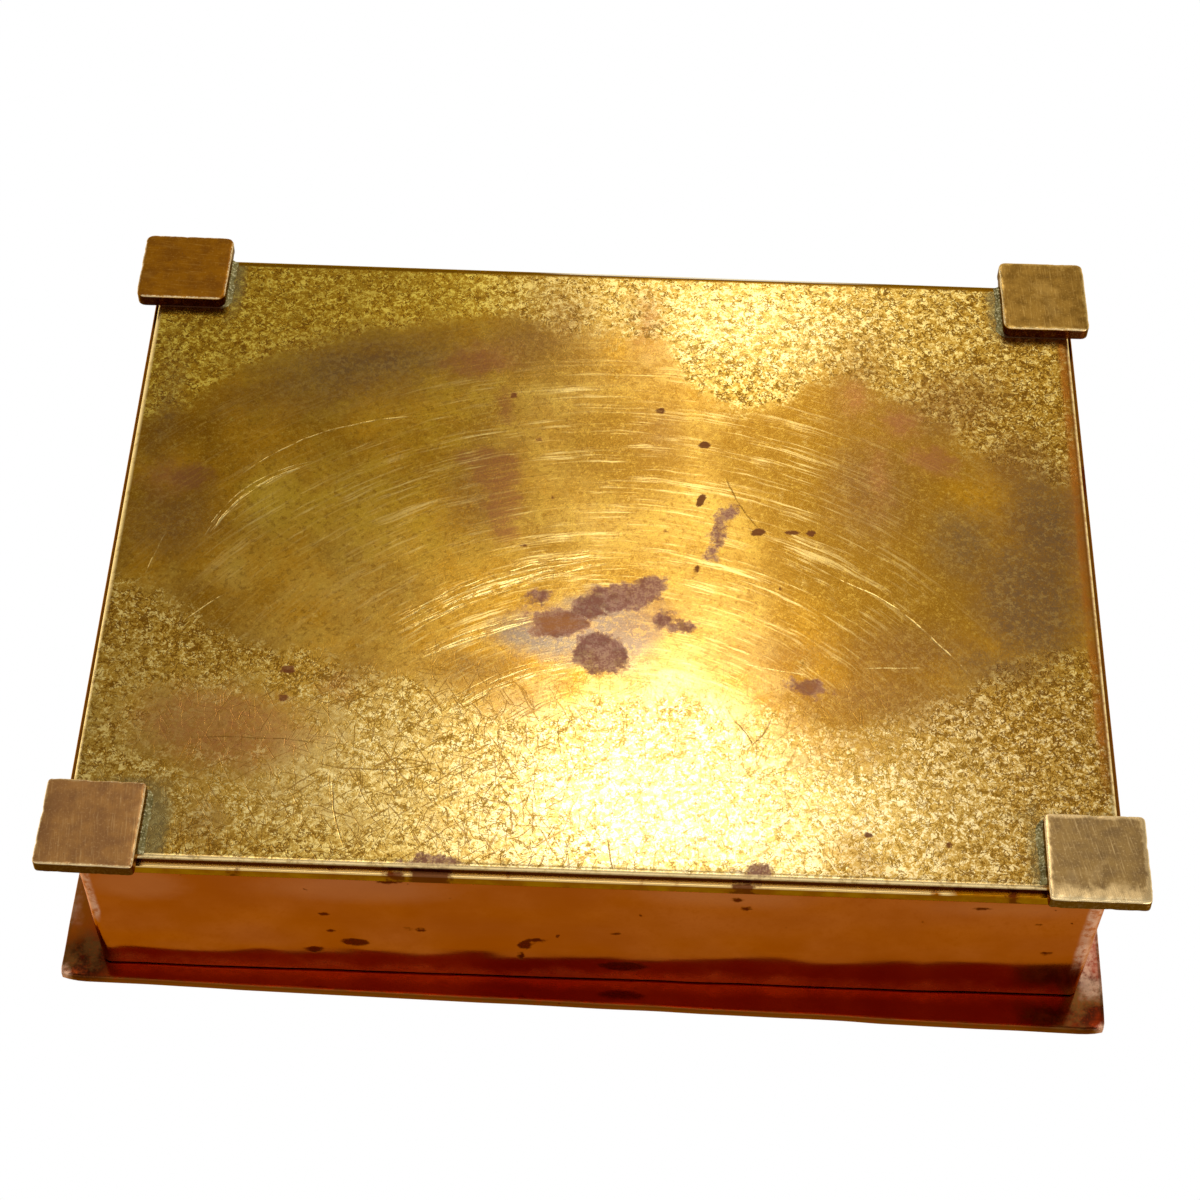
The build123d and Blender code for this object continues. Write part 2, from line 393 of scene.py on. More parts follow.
def circle_through(first, middle, last):
    """Centre and radius of the circle through three points."""
    (ax, ay), (bx, by), (cx, cy) = first, middle, last
    d = 2 * (ax * (by - cy) + bx * (cy - ay) + cx * (ay - by))
    a, b, c = ax * ax + ay * ay, bx * bx + by * by, cx * cx + cy * cy
    x = (a * (by - cy) + b * (cy - ay) + c * (ay - by)) / d
    y = (a * (cx - bx) + b * (ax - cx) + c * (bx - ax)) / d
    return x, y, math.hypot(ax - x, ay - y)


def scratches(n, place, curves):
    """Thin curved scratches in millimetres: first, middle and last point, half width, and how far
    a bundle of scratches reaches to each side, or 0 for a single one."""
    total = None
    for first, middle, last, half_width, spread in curves:
        x, y, radius = circle_through(first, middle, last)
        signed = n.sub(n.vector("DISTANCE", place, (x, y, 0)), radius)
        away = n.math("ABSOLUTE", signed)
        half_length = math.dist(first, last) / 2
        along = n.vector("DISTANCE", place, (middle[0], middle[1], 0))
        if spread:
            strand = n.noise(n.combine(n.mul(signed, 3.6), n.mul(along, 0.16)), 1.0, 2.0, 0.6)[0]
            line = n.mul(n.step(strand, 0.50, 0.60), n.step(away, 0.5 * spread, spread, 1.0, 0.0))
        else:
            line = n.step(away, 0.3 * half_width, 1.6 * half_width, 1.0, 0.0)
        line = n.mul(line, n.step(along, 0.6 * half_length, 1.1 * half_length, 1.0, 0.0))
        total = line if total is None else n.top(total, line)
    return total


# Long scratches on the bottom sheet: first, middle and last point, half width, reach of the bundle
BRIGHT_SCRATCHES = [
    ((38.7, 7.6), (30.5, 14), (20.1, 16.8), 0.06, 0),
    ((41, 0), (37.4, 5.9), (29.2, 10.4), 0.06, 0.7),
    ((19.5, -10.4), (11, -5.2), (-2, -1.2), 0.07, 1.7),
    ((18.2, -14.6), (12.5, -11.5), (6, -9.2), 0.06, 0.9),
    ((14.6, -20.9), (9, -17), (0, -14.6), 0.06, 1.3),
    ((-23.6, -2.9), (-27.1, -4.7), (-30.4, -7), 0.06, 0),
    ((-30.2, -6.8), (-33.7, -10.6), (-36.8, -14.4), 0.07, 0),
    ((45.3, -0.2), (46.1, -2.9), (46.7, -5.6), 0.05, 0),
    ((38, -7.5), (40.2, -9.4), (41.9, -11.1), 0.05, 0),
    ((-14.5, -14.2), (-17.5, -14.8), (-20.5, -15.2), 0.05, 0),
    ((-26.4, -14.3), (-29.4, -14.1), (-32.3, -14), 0.05, 0),
]
DARK_SCRATCHES = [
    ((-12.5, 9.9), (-13.9, 6.2), (-16.5, 2.6), 0.05, 0),
    ((41, -25.3), (33, -25), (26.5, -25.4), 0.05, 0),
    ((25.4, -29), (24.9, -33), (23.6, -37.2), 0.07, 0),
    ((28.2, -27.4), (21, -28.2), (14.6, -26.8), 0.05, 0),
    ((23.2, -28.8), (22.3, -31.2), (20.6, -33.6), 0.05, 0),
    ((27.5, -31), (25, -29.4), (22.8, -26.6), 0.05, 0),
    ((-17.2, -20.5), (-16, -22.8), (-14.6, -24.6), 0.06, 0),
    ((-13.2, -20.8), (-14.6, -22.6), (-15.4, -24.4), 0.05, 0),
    ((-1.2, -34.5), (-1.6, -37), (-1.9, -38.4), 0.06, 0),
    ((2.6, -35.4), (2.7, -37), (2.4, -38.3), 0.05, 0.4),
    ((8.6, -36.2), (8.8, -37.2), (8.7, -38.3), 0.05, 0.4),
]


def cracks(n, scale, twist, width, gate_scale, low, high, extra):
    """Short thin lines: the middle level of one noise, broken up where a second one is low."""
    ridge = n.math("ABSOLUTE", n.sub(n.speckle(scale, 1.5, 0.5, twist), 0.5))
    gate = n.noise(n.vector("ADD", n.mm, (31.0, 17.0, 5.0)), gate_scale, 3.0, 0.6)[0]
    return n.mul(n.step(ridge, width, 0.25 * width), n.step(n.add(gate, extra), low, high))


def bottom_brass():
    """Old brass: fine crackle near the edges, a rubbed middle with arcs of fine scratches, stains."""
    n = Metal("bottom_brass", (1.0, 0.85, 0.45))
    wobble = n.vector("SUBTRACT", n.noise(n.mm, 0.3)[1], (0.5, 0.5, 0.5))
    bent = n.vector("ADD", n.mm, n.vector("SCALE", wobble, scale=1.1))
    calm = n.vector("ADD", n.mm, n.vector("SCALE", wobble, scale=0.45))
    rubbed, tarnish = n.field("rubbed"), n.field("tarnish")
    fog = n.speckle(0.09, 4.0, 0.55)
    patches = n.speckle(0.42, 5.0, 0.6)
    mottle = n.speckle(1.5, 4.0, 0.65)
    grain = n.speckle(5.2, 2.0, 0.6)
    crackle = n.mad(n.sub(patches, 0.5), 1.6, n.field("crackle"))
    crackle = n.step(n.mad(n.sub(mottle, 0.5), 0.7, crackle), 0.05, 1.05)

    # Base colour: bare gold, under a brown film that is thicker in patches, with a fine grain
    pale, lemon, dense = n.field("pale"), n.field("lemon"), n.field("dense")
    gold = n.mix(n.step(patches, 0.35, 0.68), n.mix(lemon, (0.57, 0.35, 0.085), (0.53, 0.31, 0.022)),
                 n.mix(lemon, (0.74, 0.51, 0.19), (0.66, 0.41, 0.040)))
    # Painted highlight: the gold turns paler where the field pale is high, at the brightest reflections of
    # the lamps
    gold = n.mix(n.mul(pale, 0.75), gold, (0.95, 0.74, 0.38))
    film = n.mix(n.step(fog, 0.35, 0.65), (0.28, 0.112, 0.003), (0.50, 0.228, 0.009))
    film_amount = n.add(n.mad(patches, 1.3, -0.65), tarnish)
    n.color = n.mix(n.step(film_amount, 0.0, 0.9), gold, film)
    shade = n.step(n.mad(patches, 0.8, n.field("shade")), 0.40, 1.35)
    n.coat(shade, (0.27, 0.122, 0.010), 0.85)
    worm = n.speckle(2.3, 4.0, 0.7, 0.4)
    n.dust(mottle, 0.52, 0.66, 0.55, (0.23, 0.090, 0.005))
    n.dust(worm, 0.47, 0.33, 0.38, (0.72, 0.44, 0.065))
    n.dust(worm, 0.54, 0.66, 0.40, (0.19, 0.078, 0.004))
    n.dust(grain, 0.48, 0.36, 0.18, (0.74, 0.45, 0.07))

    # Arcs of fine scratches, all about one point at the front edge
    from_centre = n.vector("SUBTRACT", calm, (-2.0, -38.0, 0.0))
    radius = n.vector("LENGTH", from_centre)
    parts = n.split(from_centre)
    around = n.math("ARCTAN2", parts[0], parts[1])
    fine = n.noise(n.combine(n.mul(radius, 3.1), n.mul(around, 5.0)), 1.0, 3.0, 0.7)[0]
    broad = n.noise(n.combine(n.mul(radius, 0.5), n.mul(around, 3.0), 7.0), 1.0, 3.0, 0.6)[0]
    streak = n.add(fine, n.mad(broad, 0.5, -0.25))
    visible = n.mul(rubbed, n.step(patches, 0.30, 0.62, 0.25, 1.0))
    lit = n.mul(n.step(streak, 0.52, 0.70), visible)
    dim = n.mul(n.step(streak, 0.49, 0.34), visible)
    n.coat(lit, (0.95, 0.69, 0.23), 0.85)
    n.coat(dim, (0.32, 0.155, 0.016), 0.55)

    # Crackle: soft pale grains with short dark lines between them
    grains = n.speckle(1.75, 3.0, 0.6, 0.7)
    tone = n.mad(dense, 0.05, n.mad(grain, 0.30, n.mul(grains, 0.70)))
    # In that painted highlight the crackle grains and their dark lines turn paler too
    medium = n.mix(pale, n.mix(lemon, (0.60, 0.36, 0.075), (0.58, 0.335, 0.020)), (0.88, 0.64, 0.19))
    light = n.mix(pale, n.mix(lemon, (0.95, 0.70, 0.32), (0.94, 0.67, 0.095)), (1.0, 0.86, 0.50))
    n.coat(n.mul(crackle, n.mad(pale, 0.35, 0.6)), medium)
    n.coat(n.mul(n.step(tone, 0.51, 0.425), crackle), light)
    n.coat(n.mul(n.step(tone, 0.54, 0.61), n.mad(pale, -0.60, 0.88), crackle), (0.30, 0.135, 0.008))
    more = n.mul(dense, 0.11)
    dark = n.top(cracks(n, 1.15, 0.6, 0.050, 0.75, 0.47, 0.57, more),
                 cracks(n, 2.1, 0.3, 0.065, 1.1, 0.46, 0.56, more))
    dark = n.mul(dark, n.mul(n.step(crackle, 0.05, 0.8), n.mad(pale, -0.45, 0.90)))
    dark_tint = n.mix(pale, (0.17, 0.068, 0.004), (0.52, 0.30, 0.03))
    n.coat(dark, dark_tint)

    # Hair scratches that cross each other, each layer in its own direction
    hair = None
    directions = ((12, 0.655), (58, 0.66), (-35, 0.655), (85, 0.665), (-70, 0.67))
    for index, (turn, level) in enumerate(directions):
        c, s = math.cos(math.radians(turn)), math.sin(math.radians(turn))
        along = n.vector("DOT_PRODUCT", bent, (0.20 * c, 0.20 * s, 0))
        across = n.vector("DOT_PRODUCT", bent, (-4.8 * s, 4.8 * c, 0))
        layer = n.noise(n.combine(along, across, 3.7 * index), 1.0, 1.0)[0]
        layer = n.step(layer, level, level + 0.05)
        hair = layer if hair is None else n.top(hair, layer)
    hair = n.mul(hair, n.field("hairlines"))
    n.coat(hair, (0.24, 0.10, 0.008), 0.7)

    # Stains: a film with a ragged rim, thin or worn through where the fine grain is high
    ragged = n.mad(n.speckle(0.55, 8.0, 0.72), 5.0, -2.5)
    speck = n.mad(mottle, 0.5, n.mul(grain, 0.5))
    for name, low, high, thin, strength, tint in (
        ("haze", -2.6, 1.0, 0.85, 0.95, (0.225, 0.165, 0.115)),
        ("smear", -3.4, 3.2, 0.45, 0.76, (0.225, 0.100, 0.026)),
        ("rust", -1.8, 2.2, 0.45, 0.66, (0.44, 0.165, 0.050)),
        ("ash", -2.5, 2.5, 0.45, 0.70, (0.165, 0.092, 0.038)),
    ):
        amount = n.step(n.add(n.field(name), ragged), low, high)
        amount = n.mul(amount, n.step(speck, 0.60, 0.42, thin * strength, strength))
        n.coat(amount, tint)
        n.coat(n.mul(n.step(tone, 0.50, 0.42), amount), (0.58, 0.35, 0.08), 0.40)
        n.coat(n.mul(dark, n.mul(amount, 0.5)), (0.12, 0.048, 0.006))
    stain = n.step(n.mad(ragged, 0.80, n.field("stain")), -0.42, 0.24)
    blotch = n.mix(n.step(speck, 0.56, 0.44), (0.36, 0.185, 0.125), (0.225, 0.090, 0.060))
    blotch = n.mix(n.step(patches, 0.46, 0.58, 0.0, 0.7), blotch, (0.165, 0.055, 0.035))
    n.coat(dark, dark_tint, 0.6)
    n.coat(n.mul(stain, n.step(speck, 0.62, 0.47, 0.50, 0.92)), blotch)
    brick = n.step(n.mad(ragged, 0.8, n.field("brick")), -0.9, 0.7)
    brick = n.mul(brick, n.step(fine, 0.62, 0.48, 0.35, 0.85))
    n.coat(n.mul(brick, n.step(speck, 0.62, 0.46, 0.6, 1.0)), (0.29, 0.110, 0.030))
    spot = n.step(n.mad(ragged, 0.22, n.field("spot")), -0.06, 0.12)
    n.coat(spot, (0.17, 0.050, 0.016), 0.90)
    green = n.step(n.mad(ragged, 0.4, n.field("verdigris")), -0.5, 0.8)
    n.coat(green, (0.20, 0.155, 0.06), 0.70)

    # Long scratches, broken up along their length
    flat = n.vector("MULTIPLY", calm, (1, 1, 0))
    broken = n.speckle(0.9, 4.0, 0.7)
    bright = n.mul(scratches(n, flat, BRIGHT_SCRATCHES), n.step(broken, 0.40, 0.56, 0.10, 1.0))
    bright = n.mul(bright, n.mad(rubbed, 0.45, 0.50))
    cut = n.mul(scratches(n, flat, DARK_SCRATCHES), n.step(broken, 0.36, 0.56, 0.3, 1.0))
    n.coat(bright, (1.0, 0.76, 0.28))
    n.coat(cut, (0.24, 0.10, 0.010), 0.75)

    # The rim is worn bright, but brown along the back, with a painted highlight on the back bevel and painted
    # shade in the corner under the ledge
    x, y, z = n.split(n.mm)
    n.coat(n.step(n.mad(patches, 0.3, y), 37.95, 38.25), (0.21, 0.085, 0.002))
    # Painted highlight: a thin bright line on the back bevel
    glint = n.mul(n.step(y, 38.28, 38.42), n.step(x, 9.0, 3.0), n.step(x, -31.0, -21.0))
    n.coat(n.mul(glint, n.step(z, SHEET_BOTTOM + 0.42, SHEET_BOTTOM + 0.28)), (1.0, 0.86, 0.62))
    edge = n.mul(n.step(x, -48.7, -49.3), n.step(y, -30.0, -22.0), n.step(patches, 0.62, 0.42, 0.35, 0.8))
    n.coat(edge, (0.40, 0.125, 0.012))
    rim = n.field("rim")
    polished = n.mul(n.step(x, 48.0, 49.0), n.step(y, -15.0, -5.0), n.step(y, 33.0, 27.0))
    polished = n.mul(polished, n.step(rim, 0.60, 0.35), n.step(mottle, 0.66, 0.48, 0.5, 1.0))
    n.coat(polished, (0.98, 0.66, 0.22))
    worn = n.mul(n.step(rim, 0.42, 0.12), n.step(y, 37.6, 36.6), n.step(mottle, 0.62, 0.45, 0.45, 1.0))
    n.coat(worn, (0.95, 0.70, 0.32))
    # Painted shade: near black on the upper part of the sheet's side, in the corner under the ledge, except
    # along the back
    grime = n.mul(n.step(z, SHEET_BOTTOM + 0.22, SHEET_BOTTOM + 0.62), n.step(y, 38.0, 36.0))
    n.coat(grime, (0.075, 0.008, 0.001))

    rough = n.mad(grain, 0.08, n.mad(crackle, 0.04, 0.14))
    rough = n.mad(stain, 0.18, n.mad(dark, 0.10, rough))
    rough = n.mad(spot, 0.25, rough, clamp=True)

    relief = n.mad(fine, n.mul(rubbed, 0.5), n.mul(grain, 0.35))
    for groove in (n.mul(dark, 0.6), n.mul(hair, 0.5), n.top(cut, bright)):
        relief = n.sub(relief, groove)
    return n.finish(rough, relief, 0.008)


def plate_brass():
    """The base plate: an orange brown film on its edge, polished brass on the ledge in front, stains."""
    n = Metal("plate_brass", (1.0, 0.75, 0.3))
    streak = n.streaks((0.25, 0.25, 3.5), 4.0, 0.6)
    patches = n.speckle(0.35, 5.0, 0.6)
    n.color = n.mix(n.step(patches, 0.38, 0.66), (0.33, 0.095, 0.001), (0.44, 0.185, 0.004))
    n.dust(streak, 0.52, 0.78, 0.5, (0.24, 0.085, 0.002))
    n.coat(n.mul(n.field("ledge"), n.step(patches, 0.30, 0.45)), (0.84, 0.55, 0.20))
    n.coat(n.field("flank"), (0.22, 0.065, 0.006), 0.9)
    n.coat(n.mul(n.field("upper"), n.step(patches, 0.70, 0.45, 0.5, 1.0)), (0.42, 0.25, 0.085))
    ragged = n.mad(n.speckle(1.1, 5.0, 0.65), 1.6, -0.8)
    stain = n.step(n.add(n.field("stain"), ragged), -0.1, 0.3)
    n.coat(stain, (0.12, 0.014, 0.003), 0.9)
    rough = n.mad(stain, 0.2, n.mad(patches, 0.15, 0.12))
    rough = n.mad(n.field("upper"), 0.32, rough)
    return n.finish(rough, streak, 0.004)


def foot_brass(name, worn_color, patina, dark, side_shade, wear_reach, scratch_turn):
    """A cut foot: brushed brass under a patina that is worn through along the edges, and painted shade on its
    sides.
    """
    n = Metal(name, (1.0, 0.70, 0.35))
    c, s = math.cos(math.radians(scratch_turn)), math.sin(math.radians(scratch_turn))
    along = n.vector("DOT_PRODUCT", n.mm, (0.35 * c, 0.35 * s, 0.3))
    across = n.vector("DOT_PRODUCT", n.mm, (-5.5 * s, 5.5 * c, 1.7))
    brush = n.noise(n.combine(along, across), 1.0, 3.0, 0.6)[0]
    patches = n.speckle(0.55, 5.0, 0.62)
    grain = n.speckle(4.0, 3.0, 0.6)
    n.color = n.mix(n.step(patches, 0.36, 0.70, 0.0, 0.75), patina, dark)
    n.dust(brush, 0.52, 0.78, 0.5, worn_color)
    n.dust(brush, 0.45, 0.25, 0.35, dark)
    pits = n.step(n.speckle(1.4, 3.0, 0.7), 0.68, 0.74)
    n.coat(pits, (0.12, 0.06, 0.03), 0.6)
    cloudy = n.speckle(0.22, 4.0, 0.6)
    n.dust(cloudy, 0.52, 0.64, 0.6, dark)
    n.dust(cloudy, 0.45, 0.36, 0.15, worn_color)
    n.dust(grain, 0.54, 0.72, 0.35, worn_color)
    rim, side = n.field("rim"), n.field("side")
    wear = n.step(n.mad(patches, 1.1, rim), wear_reach + 0.66, wear_reach + 0.25)
    n.coat(wear, worn_color, 0.85)
    crumbs = n.mul(n.step(n.mad(grain, 0.5, rim), 0.46, 0.26), n.sub(1.0, side))
    n.coat(crumbs, (1.0, 0.78, 0.42), 0.7)
    # Painted shade: the sides of the foot are laid over with a dark colour
    n.coat(n.mul(side, n.step(grain, 0.62, 0.50, 0.90, 0.98)), side_shade)
    rough = n.mad(grain, 0.14, n.mad(wear, -0.10, 0.28))
    relief = n.mad(brush, 0.8, n.mul(grain, 0.3))
    relief = n.sub(relief, n.mul(pits, 0.8))
    return n.finish(rough, relief, 0.012)


def solder_metal():
    """Old solder: dull grey with green and white corrosion, and painted shade beside the feet."""
    n = Metal("foot_solder", (0.85, 0.8, 0.5), metallic=0.8)
    patches = n.speckle(0.9, 5.0, 0.65)
    grain = n.speckle(4.0, 4.0, 0.65)
    n.color = n.mix(n.step(patches, 0.35, 0.62), (0.12, 0.088, 0.022), (0.30, 0.24, 0.085))
    n.coat(n.step(grain, 0.50, 0.66), (0.75, 0.66, 0.36))
    n.dust(patches, 0.60, 0.72, 0.8, (0.10, 0.045, 0.010))
    # Painted shade: near black on the bead beside each foot
    n.coat(n.field("soot"), (0.045, 0.010, 0.003))
    return n.finish(n.mad(grain, 0.3, 0.35), grain, 0.03)


def copper(name, light, deep, patina, rim_reach, blush_tint, blush_strength, top=None):
    """Copper sheet: uneven polish, small dark spots, a film that starts at its rim, a browner top."""
    n = Metal(name, (1.0, 0.55, 0.30))
    fog = n.speckle(0.06, 4.0, 0.55)
    patches = n.speckle(0.30, 5.0, 0.6)
    grain = n.speckle(3.5, 3.0, 0.6)
    rub = n.streaks((0.12, 0.12, 2.2), 4.0, 0.65)
    n.color = n.mix(n.step(fog, 0.35, 0.65), light, deep)
    n.dust(patches, 0.45, 0.75, 0.45, deep)
    n.dust(rub, 0.55, 0.8, 0.35, light)
    rim = n.mad(patches, -1.6 * rim_reach, n.field("rim"))
    rim = n.step(rim, 0.35 * rim_reach, -0.75 * rim_reach)
    n.coat(rim, patina, 0.75)
    mottle = n.speckle(1.1, 6.0, 0.7)
    n.dust(mottle, 0.50, 0.68, 0.45, deep)
    n.dust(grain, 0.50, 0.66, 0.28, deep)
    if top:
        upper = n.mix(n.step(fog, 0.34, 0.66), top[0], top[1])
        for amount, tint in (
            (n.step(mottle, 0.46, 0.68, 0.0, 0.35), top[1]),
            (n.step(patches, 0.50, 0.80, 0.0, 0.45), top[2]),
            (n.mul(rim, 0.8), top[2]),
        ):
            upper = n.mix(amount, upper, tint)
        n.coat(n.field("upper"), upper)
    # On the wall this lays a painted reflection, paler and redder, low down; on the lid a darker tint along
    # one edge
    blush = n.step(n.mad(mottle, 1.4, n.add(n.field("blush"), -0.7)), -0.9, 1.6)
    n.coat(n.mul(blush, blush_strength), blush_tint)
    # Painted shade mixed with grime: near black where that field is high, at a front corner of the wall and
    # towards its top under the lid, and at the lid's corners
    grime_and_shade_amount = n.step(n.mad(patches, 4.0, n.add(n.field("grime"), -2.0)), -1.0, 1.3)
    grime_and_shade_tint = n.mix(n.step(patches, 0.42, 0.60), (0.035, 0.008, 0.003), (0.15, 0.060, 0.013))
    n.coat(n.mul(grime_and_shade_amount, n.step(grain, 0.62, 0.48, 0.75, 0.95)), grime_and_shade_tint)
    ragged = n.mad(n.speckle(1.5, 4.0, 0.6), 0.9, -0.45)
    stain = n.step(n.mad(ragged, 0.6, n.field("spot")), -0.12, 0.10)
    tiny = n.step(n.speckle(0.55, 2.0, 0.5), 0.74, 0.76)
    tiny = n.top(stain, n.mul(tiny, 0.8))
    n.coat(tiny, (0.075, 0.004, 0.001), 0.92)
    # On the wall the field worn is a painted highlight on the rounded corners; on the lid it is wear at the
    # bent corners
    worn = n.step(n.mad(patches, 0.7, n.field("worn")), 0.55, 1.25)
    n.coat(n.mul(worn, n.step(mottle, 0.64, 0.42, 0.15, 0.9)), (0.94, 0.56, 0.35))
    rough = n.mad(grain, 0.04, n.mad(patches, 0.09, 0.05))
    rough = n.mad(tiny, 0.15, n.mad(n.top(rim, worn), 0.18, rough))
    relief = n.mad(rub, 0.25, n.mul(grain, 0.2))
    relief = n.sub(relief, n.mul(tiny, 0.4))
    return n.finish(rough, relief, 0.006)


def satin(name, light, deep, stretch, roughness):
    """Plain brushed sheet for the pieces inside the box and the hinge."""
    n = Metal(name)
    brush = n.streaks(stretch, 4.0, 0.6)
    patches = n.speckle(0.22, 5.0, 0.6)
    grain = n.speckle(3.0, 3.0, 0.6)
    n.color = n.mix(n.step(patches, 0.35, 0.68), light, deep)
    n.dust(brush, 0.5, 0.8, 0.35, light)
    freckle = n.step(n.speckle(0.9, 4.0, 0.65), 0.63, 0.72)
    n.coat(freckle, (0.20, 0.09, 0.03), 0.5)
    rough = n.mad(grain, 0.12, n.mad(patches, 0.14, roughness))
    relief = n.mad(brush, 0.7, n.mul(grain, 0.2))
    return n.finish(rough, relief, 0.007)


# Pieces

# Marks on the bottom sheet: middle, half sizes along X and Y, turn in degrees where there is one
MARKS = {
    "stain": [
        (-2, -6.4, 3.4, 1.7, -16), (-4.8, -4.9, 1.8, 1.3, -30), (1.6, -8, 1.7, 1.2, -25),
        (4.6, -9.8, 2.8, 1.7, -6), (6.5, -6.8, 1, 0.9), (0.1, -13.6, 2.6, 2.4, 20),
        (-6.2, -9, 0.8, 0.7, -20), (-7.8, -9.8, 1.3, 0.55, -8), (-11.6, 1.4, 0.75, 2.4, 12),
        (-12.8, 5.2, 0.8, 0.8), (-20.9, -16.9, 1.6, 0.9, 10), (-19.2, -15.9, 0.5, 0.4),
        (15.3, -38.4, 2.2, 0.8), (-15.3, -38.2, 1.3, 0.6),
    ],
    "spot": [
        (-5.4, 18.7, 0.65, 0.45), (-10.3, 14.2, 0.7, 0.4, -15), (-15.3, 17.8, 0.4, 0.3),
        (-10, 6.7, 0.45, 0.9, 20), (-15.9, 2.6, 0.9, 0.55, -10), (-19.4, 2.7, 1.1, 0.35),
        (-21.3, 2.6, 0.6, 0.5), (-9.5, -2.5, 0.4, 0.5), (7.5, 14.2, 0.45, 0.35),
        (-18.2, -4.6, 0.3, 0.4), (31, -20.2, 0.6, 0.45), (31, -16.8, 0.8, 0.5),
        (37.2, -25.6, 0.9, 0.3), (-41, -26.5, 0.3, 0.25), (-6.3, 2.4, 0.25, 0.2),
        (-13.6, -2.4, 0.25, 0.2), (10.4, 20.2, 0.4, 0.45), (5.5, 6.3, 0.25, 0.25),
        (-16.4, -2, 0.25, 0.2), (-5.9, 9.8, 0.3, 0.25), (8.3, -0.2, 0.35, 0.25),
        (-33.8, -34.5, 0.4, 0.35), (-26.2, -33.6, 0.45, 0.35), (-39.7, -8.8, 0.25, 0.2),
        (-9, -3.6, 0.25, 0.2), (-10.9, -0.9, 0.2, 0.25), (-7.6, 5, 0.2, 0.2),
        (2, -3.9, 0.3, 0.25),
    ],
    "smear": [
        (24.5, 25.2, 11, 3.6, -8), (28, 21.2, 9, 3, -14), (11.5, 26.8, 7.5, 3.2, -20),
        (13, 6.8, 3.4, 6, 10), (5, 31.5, 2.4, 3.2), (-5, -9, 4, 2.4, -15),
        (-43.5, -5, 5.5, 7), (-45, 4, 4.5, 7), (-39.8, -13.6, 3.2, 1.6),
        (45, 1.5, 4, 4), (37.3, -35, 1.2, 1.4), (-3.6, 32, 1.2, 2.4),
        (-26.6, 23.5, 2.2, 5, 10), (24.8, -17.2, 1.3, 1.1), (-18.5, -13, 4.2, 1.6),
        (-32, -12.5, 7, 3), (-25.5, -36.5, 0.8, 1.5, -20), (-28, -17.5, 7, 3),
        (-5.6, 15.4, 1.2, 2), (-36, 20.5, 6.5, 4.2, -25), (-43, 13, 3.6, 4),
        (-27.5, 9, 4, 6),
    ],
    "rust": [
        (14.3, 25.3, 3, 1.8, -12), (4.6, -9.7, 2, 1.1), (-34.4, 13, 1.9, 1.3, 30),
        (-31.2, 17.9, 1.4, 1.5), (-26.6, 21.4, 1, 1.3), (37, -23.8, 8.5, 4.4, 8),
        (46, 7.3, 2.2, 1.8), (-3.8, 31.5, 0.7, 1.8), (-49.6, 4, 0.9, 8), (-28.6, 11, 0.5, 1.8),
        (26, -18.5, 1, 0.8),
    ],
    "brick": [
        (11.6, 9.4, 2.6, 2.6), (13.6, 11.4, 2.2, 1.2, -10), (10.6, 5, 1.7, 2.6),
        (10.2, 1.6, 1.2, 1.4), (11.2, 18.2, 0.6, 1.6, -8), (-31.2, 18.1, 1.5, 1.2, 20),
        (-34.6, 13, 2, 1.4, 25), (4.9, -9.9, 2.4, 1.1, -6), (-20.9, -16.9, 0.9, 0.5, 10),
        (43.5, 7.3, 1.9, 1.5), (14.8, 24.6, 2.6, 1.5, -12),
    ],
    "haze": [
        (0.6, -10, 4.6, 2.9, -12), (4.2, -12, 3, 1.6), (7.2, -11.2, 1.8, 1.3),
        (-2.9, -11, 1.9, 2.6, 20),
    ],
    "ash": [
        (-43.5, -5.5, 4.5, 8), (-46, 5, 3, 7), (-40.5, -13.4, 3.6, 1.6),
        (47.5, 17, 0.9, 3.6), (13, -15.5, 3, 1.6), (27, 23.5, 6, 1.6, -12),
        (-37, 2, 3, 4),
    ],
    "verdigris": [
        (42, -36, 1.7, 5.6), (-42.2, -35.5, 0.8, 5), (42, 35.5, 0.9, 4.6),
        (-42.3, 35.5, 0.9, 4.6), (45, -30.7, 3.5, 0.5), (-46, -30.9, 4, 0.4),
    ],
}

# Where the crackle begins, behind and in front of the rubbed middle
BACK_LINE = [
    (-50, 9), (-40, 14), (-33, 19), (-27, 23), (-22, 23.5), (-18, 19.5), (-14, 18.5), (-9, 22), (-5, 29),
    (0, 30), (5, 29), (12, 31.5), (20, 30.5), (25, 29), (30, 27), (35, 25), (40, 21.5), (45, 18), (50, 14),
]
FRONT_LINE = [
    (-50, -10), (-45, -10.5), (-40, -14), (-36, -17), (-30, -19), (-24, -21), (-16, -20), (-8, -18), (0, -18),
    (5, -20), (10, -22), (15, -19), (20, -16.5), (28, -14.5), (34, -13.5), (40, -11), (45, -7), (50, -5),
]

# Soft patches: middle, half sizes, amount
SHADES = [
    (-27, 16, 10, 9, 1.8), (-17, 13, 6, 7, 1.3), (-2, 14, 7, 8, 1.2), (-30, -2, 11, 10, 1.6),
    (7, 28, 7, 8, 0.7), (-26, -20, 8, 4, 1.0), (-1, -5, 7, 5, 0.8), (-21, 6, 6, 6, 1.1),
    (-29, 23, 9, 5, 0.9), (13, 35, 13, 4, 0.7), (6, -3, 5, 6, 0.7), (-30, -24, 9, 6, 0.6),
]
BARE = [(-4, 4, 17, 22, 0.30), (35.5, 4.5, 3.2, 4.2, 0.55), (38, -4, 2.2, 3.0, 0.45), (31, 6, 7, 11, 0.35)]

